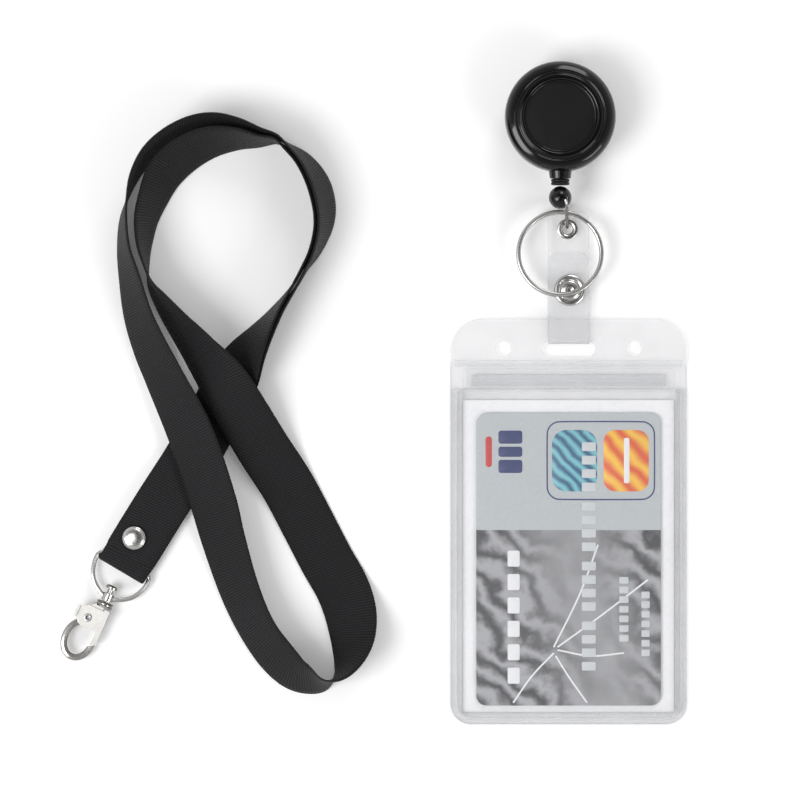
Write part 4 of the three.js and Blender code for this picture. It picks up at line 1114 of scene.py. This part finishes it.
@dataclass
class Lanyard:
    """The doubled webbing strip, its folded tail and the rivet through it. Millimetres."""

    width: float = 15.6
    tail_width: float = 15.0
    thick: float = 0.8
    spacing: float = 1.2
    rib_pitch: float = 0.75
    rows_per_rib: int = 4
    fold_wrap: float = 1.35
    fold_low: float = 0.95
    fold_back: float = 15.0
    fold_start: float = 4.0
    tail_end: tuple[float, float] = (-74.4, -51.7)
    tail_angle: float = -122.0
    offset: Array = field(default_factory=lambda: centre_of("rivet_cap")[:2] - np.array(DRAWN_STUD))

    def stations(self) -> Array:
        """Rows of x, y, height, lean and layer offset along the whole strip, from its lower end.

        The height is the lower edge's, plus half the width times the sine of the lean, plus the
        thickness below the middle line where the strip lies flat.
        Returns:
            Array of shape (n, 5).
        """
        tail = np.array(TAIL_ROUTE, float)
        legs = np.array(LEGS_ROUTE, float)
        out = np.column_stack([tail, np.full(len(tail), -self.spacing / 2)])
        back = out[::-1].copy()
        back[:, 2] = 180 - back[:, 2]
        legs = np.column_stack([legs, np.zeros(len(legs))])
        rows = np.vstack([out[1:], legs, back])
        lean = np.radians(rows[:, 2])
        stack = np.where(rows[:, 4] < 0, (self.spacing + self.thick) / 2, self.thick / 2)
        z = rows[:, 3] + self.width / 2 * np.sin(lean) + stack * np.abs(np.cos(lean))
        return np.column_stack([rows[:, :2] + self.offset, z, rows[:, 2], rows[:, 4]])

    def fold(self, start: Array, spacing: float) -> Array:
        """Centres of the strip from its upper layer, round the bar of the loop and back below it.

        Args:
            start: the last centre of the upper layer.
            spacing: distance between the centres.
        Returns:
            Array of shape (n, 3).
        """
        angle = math.radians(self.tail_angle)
        ahead = np.array([math.cos(angle), math.sin(angle)])
        end = np.array(self.tail_end) + self.offset
        wrap = self.fold_wrap
        bar = self.fold_low + wrap
        turn = np.linspace(np.pi / 2, -np.pi / 2, 14)
        away = wrap + self.thick / 2
        run = [[self.fold_start, bar + wrap]]
        run += np.column_stack([away - wrap * np.cos(turn), bar + wrap * np.sin(turn)]).tolist()
        run += [[5.0, self.fold_low], [10.0, self.fold_low], [self.fold_back, self.fold_low]]
        run = np.array(run)
        places = np.column_stack([end - run[:, :1] * ahead, run[:, 1]])
        whole = np.vstack([start, places])
        length = np.linalg.norm(np.diff(whole, axis=0), axis=1).sum()
        return spline(whole, int(length / spacing))[1:]

    def strip(self) -> bpy.types.Object:
        """The whole strip: a thin section whose faces swell at every rib and whose edges are scalloped.

        Half the thickness times 0.9 and times one plus 0.06 of the rib's cosine, and the edge moved
        out by up to 0.12 mm at each rib, carried along the route with the section turned by its lean.

        Returns:
            The object.
        """
        stations = self.stations()
        rough = spline(stations, 400)
        length = np.linalg.norm(np.diff(rough[:, :3], axis=0), axis=1).sum()
        spacing = self.rib_pitch / self.rows_per_rib
        rows = spline(stations, int(length / spacing))
        centre = rows[:, :3].copy()
        tangent = unit(np.gradient(centre, axis=0))
        lean = np.radians(rows[:, 3])[:, None]
        right = unit(np.column_stack([tangent[:, 1], -tangent[:, 0], np.zeros(len(rows))]))
        edge = right * np.cos(lean) + np.array([0.0, 0.0, 1.0]) * np.sin(lean)
        edge = unit(edge - tangent * np.sum(edge * tangent, axis=1, keepdims=True))
        face = unit(np.cross(edge, tangent))
        centre += face * rows[:, 4:5]
        folded = self.fold(centre[-1], spacing)
        path = np.vstack([centre, folded])
        edge = np.vstack([edge, np.repeat(edge[-1:], len(folded), axis=0)])
        tangent = unit(np.gradient(path, axis=0))
        edge = unit(edge - tangent * np.sum(edge * tangent, axis=1, keepdims=True))
        face = unit(np.cross(edge, tangent))
        along = np.concatenate([[0.0], np.cumsum(np.linalg.norm(np.diff(path, axis=0), axis=1))])
        self.length = float(along[-1])
        taper = np.ones(len(path))
        taper[-len(folded):] = self.tail_width / self.width
        taper = np.convolve(np.pad(taper, 8, mode="edge"), np.ones(17) / 17, mode="valid")
        across, height = self.section()
        phase = 2 * np.pi * (along[:, None] / self.rib_pitch + 0.12 * across[None] / self.rib_pitch)
        swell = 1 + 0.06 * np.cos(phase)
        scallop = 0.12 * np.abs(np.sin(phase / 2)) * np.sign(across) * (np.abs(across) > self.width * 0.49)
        w = (across[None] + scallop) * taper[:, None]
        t = height[None] * swell * (self.thick / 2) * 0.9
        section = np.stack([w, t], axis=-1)
        uv = np.stack(np.broadcast_arrays(across / 10, along[:, None] / 10), axis=-1)
        return carried("webbing_strip", path, edge, face, section, uv=uv.reshape(-1, 2))

    def section(self) -> tuple[Array, Array]:
        """The strip's section, round its outline.

        Returns:
            The distances across, and the heights from -1 to 1.
        """
        half = self.width / 2
        upper = np.linspace(-half + 0.35, half - 0.35, 8)
        across = np.concatenate([upper, [half], upper[::-1], [-half]])
        height = np.concatenate([np.ones(8), [0.0], -np.ones(8), [0.0]])
        return across, height

    def rivet(self) -> None:
        """The polished rivet: a low dome with a rolled rim on top and a turned base beneath."""
        low, high = box_of("rivet_cap")
        centre = centre_of("rivet_cap")[:2]
        radius = (high[0] - low[0]) / 2
        turn = np.linspace(0, np.pi / 2, 14)[::-1]
        top = high[2] - 0.9
        dome = np.stack([0.93 * radius * np.sin(turn), top + 0.9 * np.cos(turn)], axis=-1)[:-1]
        rim = rounded([[radius - 0.35, top - 0.45], [radius, top - 0.4], [radius, top - 0.05],
                       [radius * 0.95, top + 0.08]], 0.15)
        profile = np.vstack([[[0.0, top - 0.45]], rim, dome[1:], [[0.0, top + 0.9]]])
        cap = turned("rivet_dome", profile, centre)
        settle(cap, "lanyard", LOOK.nickel, "rivet_cap")
        keep("rivet_post", LOOK.nickel)

    def build(self) -> None:
        """Makes the strip and the rivet."""
        strip = self.strip()
        settle(strip, "lanyard", LOOK.webbing, "lanyard_webbing")
        self.rivet()


# ---------------------------------------------------------------- swivel hook
@dataclass
class SwivelHook:
    """The wire loop through the webbing, and the hook with its gate."""

    pin_radius: float = 0.75
    pin_head: float = 1.3
    pin_hole: float = 0.5

    def pin(self) -> None:
        """The gate's hollow pin: a shaft between two rolled heads, with a deep round hole at its top."""
        low, high = box_of("gate_pin")
        base, top = low[2], high[2]
        outline = rounded([
            [0.0, base], [self.pin_head, base], [self.pin_head, base + 0.22], [self.pin_radius, base + 0.28],
            [self.pin_radius, top - 0.32], [self.pin_head - 0.07, top - 0.3],
            [self.pin_head - 0.12, top - 0.06], [self.pin_hole + 0.2, top],
            [self.pin_hole, top - 0.2], [self.pin_hole, top - 1.6], [0.0, top - 1.6],
        ], 0.12, 4)
        pin = turned("hook_hollow_pin", outline, centre_of("gate_pin")[:2], 56)
        settle(pin, "hook", LOOK.steel, "gate_pin")

    def build(self) -> None:
        """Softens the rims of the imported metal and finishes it."""
        self.pin()
        soften("swivel_loop", "hook_loop", "loop", LOOK.nickel, 0.12)
        soften("hook_body", "hook_claw", "hook", LOOK.hook, 0.36, 3)
        soften("hook_gate", "hook_latch", "gate", LOOK.hook, 0.3, 3)
        keep("gate_spring", LOOK.steel)


# ---------------------------------------------------------------- badge reel
@dataclass
class BadgeReel:
    """The round case with its sunk face, the cord guide, the ribbed collar and the stop ball."""

    wall: float = 1.4
    collar_reach: float = 0.22
    recess: float = 10.3
    sink: float = 1.1

    def front_cover(self) -> None:
        """The front cover, turned: skirt, wide round shoulder, groove, raised ring, recess."""
        low, high = box_of("reel_front_cover")
        centre = centre_of("reel_front_cover")[:2]
        radius = (high[0] - low[0]) / 2
        top, seam = high[2], low[2]
        floor = top - self.sink
        outline = rounded([
            [0.0, floor - 1.2], [radius - self.wall, floor - 1.2], [radius - self.wall, seam],
            [radius, seam], [radius, seam + 1.4], [radius - 0.35, seam + 2.7], [radius - 1.3, top - 0.75],
            [radius - 2.6, top - 0.28], [13.1, top - 0.2], [12.8, top - 0.5], [12.35, top - 0.5],
            [12.05, top - 0.15], [11.6, top - 0.05], [11.0, top], [10.6, top - 0.2],
            [self.recess, floor + 0.15], [self.recess - 0.4, floor], [0.0, floor],
        ], 0.5, 5)
        cover = turned("reel_front_shell", outline, centre, 160)
        settle(cover, "reel", LOOK.gloss, "reel_front_cover")
        low_face, high_face = floor - 0.1, floor + 0.08
        inlay = rounded([[0.0, low_face], [9.9, low_face], [9.9, high_face], [0.0, high_face]], 0.12)
        settle(turned("reel_face_inlay", inlay, centre, 120), "reel", LOOK.satin)

    def back_cover(self) -> None:
        """The back cover turned from its outline, with a parting step at the seam."""
        low, high = box_of("reel_back_cover")
        centre = centre_of("reel_front_cover")[:2]
        radius = (high[0] - low[0]) / 2
        hole = 1.5
        outline = rounded([
            [hole, low[2]], [radius - 1.2, low[2]], [radius, low[2] + 1.2], [radius, high[2] - 0.35],
            [radius - 0.3, high[2]], [radius - self.wall, high[2]], [radius - self.wall, low[2] + 1.2],
            [hole, low[2] + 1.2], [hole, low[2]],
        ], 0.5, 5)
        settle(turned("reel_back_shell", outline, centre, 144), "reel", LOOK.gloss, "reel_back_cover")

    def outlet(self) -> None:
        """The cord guide, the collar's soft ribs, and the ball on the cord's end."""
        soften("cord_guide", "reel_cord_guide", "reel", LOOK.gloss, 0.25, 3)
        low, high = box_of("cord_collar")
        middle = centre_of("cord_collar")
        radius = (high[0] - low[0]) / 2
        length = high[1] - low[1] + self.collar_reach
        s = np.linspace(0, 1, 40)
        ribs = radius - 0.35 + 0.35 * np.sqrt(np.abs(np.sin(2 * np.pi * s)))
        sleeve = np.column_stack([ribs, s * length])
        ends = np.array([[0.6, length], [0.6, 0.0]])
        profile = np.vstack([ends[1:], sleeve, ends])
        start = (middle[0], high[1] + self.collar_reach, middle[2])
        collar = turned_along("cord_ribbed_collar", profile, start, (0, -1, 0))
        settle(collar, "collar", LOOK.satin, "cord_collar")
        soften("stop_ball", "cord_stop_ball", "ball", LOOK.gloss, 0.1)
        keep("pull_cord", LOOK.cord)

    def inside(self) -> None:
        """Finishes what the covers hide."""
        keep("spool_post", LOOK.inner)
        keep("cord_spool", LOOK.inner)
        keep("wound_cord", LOOK.cord)
        keep("power_spring", LOOK.steel)

    def build(self) -> None:
        """Makes the reel."""
        self.front_cover()
        self.back_cover()
        self.outlet()
        self.inside()


@dataclass
class SwivelClip:
    """The sprung metal clip on the back of the reel."""

    def build(self) -> None:
        """Softens the jaws' rims and finishes the small parts."""
        soften("clip_base_jaw", "clip_fixed_jaw", "clip_base", LOOK.nickel, 0.12)
        soften("clip_lever_jaw", "clip_moving_jaw", "clip_lever", LOOK.nickel, 0.12)
        keep("clip_axle", LOOK.steel)
        keep("clip_spring", LOOK.steel)
        keep("clip_swivel_rivet", LOOK.nickel)


# ---------------------------------------------------------------- ring and snap strap
@dataclass
class RingAndStrap:
    """The wire link, the split ring, and the clear strap with its eyelet and snap."""

    ring_outer: float = 12.75
    ring_radial: float = 1.25
    ring_turn: float = 0.95
    ring_tilt: float = 0.05
    ring_turns: float = 1.92
    ring_start: float = 0.42

    def split_ring(self) -> None:
        """Two turns of flat spring wire: a spiral whose height steps up by one turn near its end."""
        middle = centre_of("split_ring")
        count = 420
        turn = np.linspace(0, self.ring_turns, count)
        step = np.clip((turn - 0.86) / 0.2, 0, 1)
        step = step * step * (3 - 2 * step)
        angle = np.pi * self.ring_start + 2 * np.pi * turn
        radius = self.ring_outer - self.ring_radial / 2
        lift = (step - 0.5) * (self.ring_turn + 0.15)
        path = np.column_stack([radius * np.cos(angle), radius * np.sin(angle), lift])
        out = np.column_stack([np.cos(angle), np.sin(angle), np.zeros(count)])
        tilt = -self.ring_tilt
        turned_up = np.array([
            [1.0, 0.0, 0.0], [0.0, math.cos(tilt), -math.sin(tilt)], [0.0, math.sin(tilt), math.cos(tilt)],
        ])
        path = path @ turned_up.T + middle
        out = out @ turned_up.T
        up = np.repeat(turned_up[:, 2][None], count, axis=0)
        section = soft_box(self.ring_radial, self.ring_turn - 0.1, 0.41, 6)
        ring = carried("split_key_ring", path, out, up, section)
        settle(ring, "ring", LOOK.ring, "split_ring")

    def build(self) -> None:
        """Makes the ring, the strap and what is fixed to it."""
        self.split_ring()
        soften("connecting_link", "wire_link", "ball", LOOK.nickel, 0.05)
        soften("strap_front_leaf", "strap_front", "strap", LOOK.strap, 0.12)
        soften("strap_back_leaf", "strap_back", "strap_tab", LOOK.strap, 0.12)
        self.eyelet()
        self.snap()

    def eyelet(self) -> None:
        """The rolled eyelet: a tube with a round flange on each side of the strap."""
        low, high = box_of("strap_eyelet")
        centre = centre_of("strap_eyelet")
        radius = (high[0] - low[0]) / 2
        bore = 1.5
        profile = rounded([
            [bore, low[2]], [radius - 0.4, low[2]], [radius - 0.4, low[2] + 0.3], [bore + 0.25, low[2] + 0.3],
            [bore + 0.25, high[2] - 0.3], [radius, high[2] - 0.3], [radius - 0.1, high[2] - 0.08],
            [bore + 0.6, high[2]], [bore, high[2] - 0.35], [bore, low[2]],
        ], 0.25, 4)
        settle(turned("rolled_eyelet", profile, centre[:2]), "strap", LOOK.nickel, "strap_eyelet")

    def snap(self) -> None:
        """The snap fastener: a cap with a rolled rim, a dish and a raised middle, and its mates below."""
        low, high = box_of("snap_cap")
        centre = centre_of("snap_cap")[:2]
        radius = (high[0] - low[0]) / 2
        base, top = low[2], high[2]
        profile = rounded([
            [0.0, base], [radius, base], [radius, base + 0.35], [radius - 0.5, base + 0.62],
            [radius - 1.05, base + 0.6], [radius - 1.25, base + 0.3], [radius - 1.6, base + 0.3],
            [radius - 1.95, top - 0.32], [1.6, top - 0.05], [1.0, top], [0.75, top - 0.3], [0.0, top - 0.36],
        ], 0.3, 5)
        settle(turned("snap_cap_dish", profile, centre, 112), "strap", LOOK.nickel, "snap_cap")
        soften("snap_socket", "snap_socket_ring", "strap", LOOK.steel, 0.08)
        soften("snap_post", "snap_post_base", "strap_tab", LOOK.nickel, 0.08)
        keep("snap_stud", LOOK.steel)


# ---------------------------------------------------------------- card pocket
@dataclass
class CardPocket:
    """The clear vinyl pocket: welded sheets, a zip under a loose lip, and a paper insert."""

    weld_inset: float = 1.7
    seam_width: float = 0.9
    ridge_inset: float = 1.2

    def seam(self) -> None:
        """The welded seam: a low rounded bead round the sides and the bottom of the front sheet."""
        low, high = box_of("pocket_front_sheet")
        inset = self.weld_inset
        loop = round_rectangle(
            low[0] + inset, high[0] - inset, low[1] + inset, high[1] - 0.4, 4.2, 0.6
        )
        path = spline(np.column_stack([loop, np.full(len(loop), low[2] + 0.47)]), 400, True)
        section = soft_box(self.seam_width, 0.22, 0.1)
        settle(flat_bead("pocket_weld_seam", path, section, True), "pocket", LOOK.weld)

    def sheets(self) -> None:
        """The back and front sheets and the lip, with their rims softened."""
        soften("pocket_back_sheet", "pocket_back", "pocket", LOOK.vinyl, 0.15)
        soften("pocket_front_sheet", "pocket_front", "pocket", LOOK.window, 0.3, 3)
        soften("pocket_lip", "pocket_loose_lip", "mouth", LOOK.window, 0.15)
        soften("zip_track", "pocket_zip_track", "pocket", LOOK.weld, 0.08)
        soften("zip_rib", "pocket_zip_rib", "mouth", LOOK.weld, 0.12)
        soften("paper_insert", "pocket_insert", "pocket", LOOK.paper, 0.05)

    def header_ridges(self) -> None:
        """Low pressed ridges on the header, above the mouth: straight beads across it."""
        high = box_of("pocket_lip")[1]
        back_low, back_high = box_of("pocket_back_sheet")
        x = np.linspace(back_low[0] + self.ridge_inset, back_high[0] - self.ridge_inset, 60)
        for number, (y, z) in enumerate([(high[1] + 0.9, 0.62), (high[1] + 2.1, 0.78)]):
            path = np.column_stack([x, np.full(60, y), np.full(60, z)])
            ridge = flat_bead(f"pocket_ridge_{number + 1}", path, soft_box(0.7, 0.16, 0.07))
            settle(ridge, "pocket", LOOK.weld)

    def build(self) -> None:
        """Makes the pocket."""
        self.sheets()
        self.seam()
        self.header_ridges()


@dataclass
class IdCard:
    """A plastic card with a generic print: coloured patches, raised blocks and pale strokes."""

    print_rise: float = 0.03
    band_share: float = 0.4

    def __post_init__(self) -> None:
        """Reads where the card lies."""
        self.low, self.high = box_of("id_card")
        self.size = self.high - self.low
        self.top = self.high[2]

    def place(self, across: float, down: float) -> tuple[float, float]:
        """A point of the card from its shares of the width from the left and of the height from the top."""
        return self.low[0] + across * self.size[0], self.high[1] - down * self.size[1]

    def patch(
        self, name: str, left: float, right: float, top: float, bottom: float, corner: float, finish: Finish,
        rise: float = 0.0,
    ) -> None:
        """A printed or raised rounded rectangle.

        Args:
            name: the piece's name.
            left: share of the card's width.
            right: share of the card's width.
            top: share of the card's height from the top.
            bottom: share of the card's height from the top.
            corner: corner radius in millimetres.
            finish: its finish.
            rise: extra height.
        """
        x0, y1 = self.place(left, top)
        x1, y0 = self.place(right, bottom)
        outline = round_rectangle(x0, x1, y0, y1, corner, steps=7)
        high = self.top + self.print_rise + rise
        settle(plate(name, outline, self.top - 0.05, high, 0.02 + rise * 0.3), "card", finish)

    def stroke(self, name: str, points: Sequence[tuple[float, float]], width: float, finish: Finish) -> None:
        """A printed line through points given as shares of the card.

        Args:
            name: the piece's name.
            points: (across, down) shares.
            width: the line's width in millimetres.
            finish: its finish.
        """
        places = np.array([[*self.place(a, d), self.top + 0.01] for a, d in points])
        line = flat_bead(name, spline(places, 60), soft_box(width, 0.06, 0.02, 2))
        settle(line, "card", finish)

    def build(self) -> None:
        """Makes the card and its print."""
        middle = (self.low[0] + self.high[0]) / 2 * MM
        split = (self.high[1] - self.band_share * self.size[1]) * MM
        face = PrintedCard(
            "printed card", Slot.CARD, (0.5, 0.52, 0.54), 0.3, middle=middle, split=split
        )
        soften("id_card", "card_plate", "card", face, 0.15)
        navy = PrintedInk("navy ink", Slot.CARD, (0.01, 0.02, 0.12), 0.4, second=(0.015, 0.03, 0.16))
        red = PrintedInk("red ink", Slot.CARD, (0.55, 0.02, 0.02), 0.4, second=(0.6, 0.04, 0.03))
        white = PrintedInk("white ink", Slot.CARD, (0.8, 0.8, 0.82), 0.45, second=(0.9, 0.9, 0.92))
        teal = PrintedInk(
            "teal print", Slot.CARD, (0.01, 0.10, 0.22), 0.35, second=(0.20, 0.55, 0.62), bands=160.0
        )
        amber = PrintedInk(
            "amber print", Slot.CARD, (0.75, 0.10, 0.02), 0.35, second=(0.95, 0.55, 0.05), bands=90.0
        )
        blocks = MouldedPlastic("raised silver blocks", Slot.CARD, (0.62, 0.64, 0.66), 0.3)
        self.marks(navy, red, teal, amber, white)
        self.raised_rows(blocks)
        self.strokes(white)

    def marks(self, navy: Finish, red: Finish, teal: Finish, amber: Finish, white: Finish) -> None:
        """A generic mark of bars, and two patterned patches in a rounded frame.

        Args:
            navy: finish of the bars and the frame.
            red: finish of the small bar beside them.
            teal: finish of the left patch.
            amber: finish of the right patch.
            white: finish of the bar on the right patch.
        """
        for number, (top, bottom) in enumerate([(0.06, 0.105), (0.115, 0.15), (0.16, 0.205)]):
            self.patch(f"card_bar_{number + 1}", 0.12, 0.25, top, bottom, 0.8, navy)
        self.patch("card_tick", 0.05, 0.085, 0.08, 0.185, 0.9, red)
        self.frame_line(navy)
        self.patch("card_patch_teal", 0.41, 0.655, 0.058, 0.268, 4.2, teal, 0.02)
        self.patch("card_patch_amber", 0.69, 0.935, 0.058, 0.268, 3.4, amber, 0.01)
        self.patch("card_patch_amber_bar", 0.80, 0.83, 0.085, 0.24, 0.5, white, 0.02)

    def frame_line(self, finish: Finish) -> None:
        """A thin printed line round both patches: a rounded rectangle carried as a flat strip.

        Args:
            finish: the line's finish.
        """
        x0, y1 = self.place(0.385, 0.03)
        x1, y0 = self.place(0.965, 0.295)
        loop = round_rectangle(x0, x1, y0, y1, 3.6)
        path = spline(np.column_stack([loop, np.full(len(loop), self.top + 0.01)]), 220, True)
        line = flat_bead("card_frame_line", path, soft_box(0.42, 0.06, 0.02, 2), True)
        settle(line, "card", finish)

    def raised_rows(self, finish: Finish) -> None:
        """Rows of raised blank blocks that run up the card, in groups.

        Args:
            finish: the blocks' finish.
        """
        main = [0.1 + 0.046 * i + 0.02 * (i // 4) for i in range(16)]
        for number, down in enumerate(main):
            self.patch(f"card_block_{number + 1}", 0.572, 0.648, down, down + 0.03, 0.4, finish, 0.14)
        for number in range(7):
            down = 0.56 + 0.033 * number
            for row, left, right, start in (("small", 0.775, 0.825, down), ("low", 0.895, 0.94, down + 0.05)):
                name = f"card_{row}_block_{number + 1}"
                self.patch(name, left, right, start, start + 0.023, 0.3, finish, 0.12)

    def strokes(self, finish: Finish) -> None:
        """Pale lines that run together on the hills, and a row of plain blocks beside them.

        Args:
            finish: the finish of both.
        """
        lines = [
            [(0.42, 0.80), (0.56, 0.62), (0.66, 0.45)], [(0.44, 0.80), (0.66, 0.70), (0.93, 0.57)],
            [(0.44, 0.81), (0.62, 0.83), (0.80, 0.82)], [(0.42, 0.82), (0.30, 0.90), (0.20, 0.99)],
            [(0.43, 0.83), (0.50, 0.90), (0.60, 0.99)],
        ]
        for number, line in enumerate(lines):
            self.stroke(f"card_stroke_{number + 1}", line, 0.5, finish)
        for number, down in enumerate([0.47, 0.55, 0.63, 0.71, 0.79, 0.87]):
            self.patch(f"card_title_{number + 1}", 0.17, 0.235, down, down + 0.055, 0.5, finish)


def main() -> None:
    """Builds the studio and every sub-assembly."""
    logging.basicConfig(level=logging.INFO, format="%(message)s")
    Studio().build()
    for assembly in (Lanyard, SwivelHook, BadgeReel, SwivelClip, RingAndStrap, CardPocket, IdCard):
        log.info("building %s", assembly.__name__)
        assembly().build()
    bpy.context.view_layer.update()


if __name__ == "__main__":
    main()
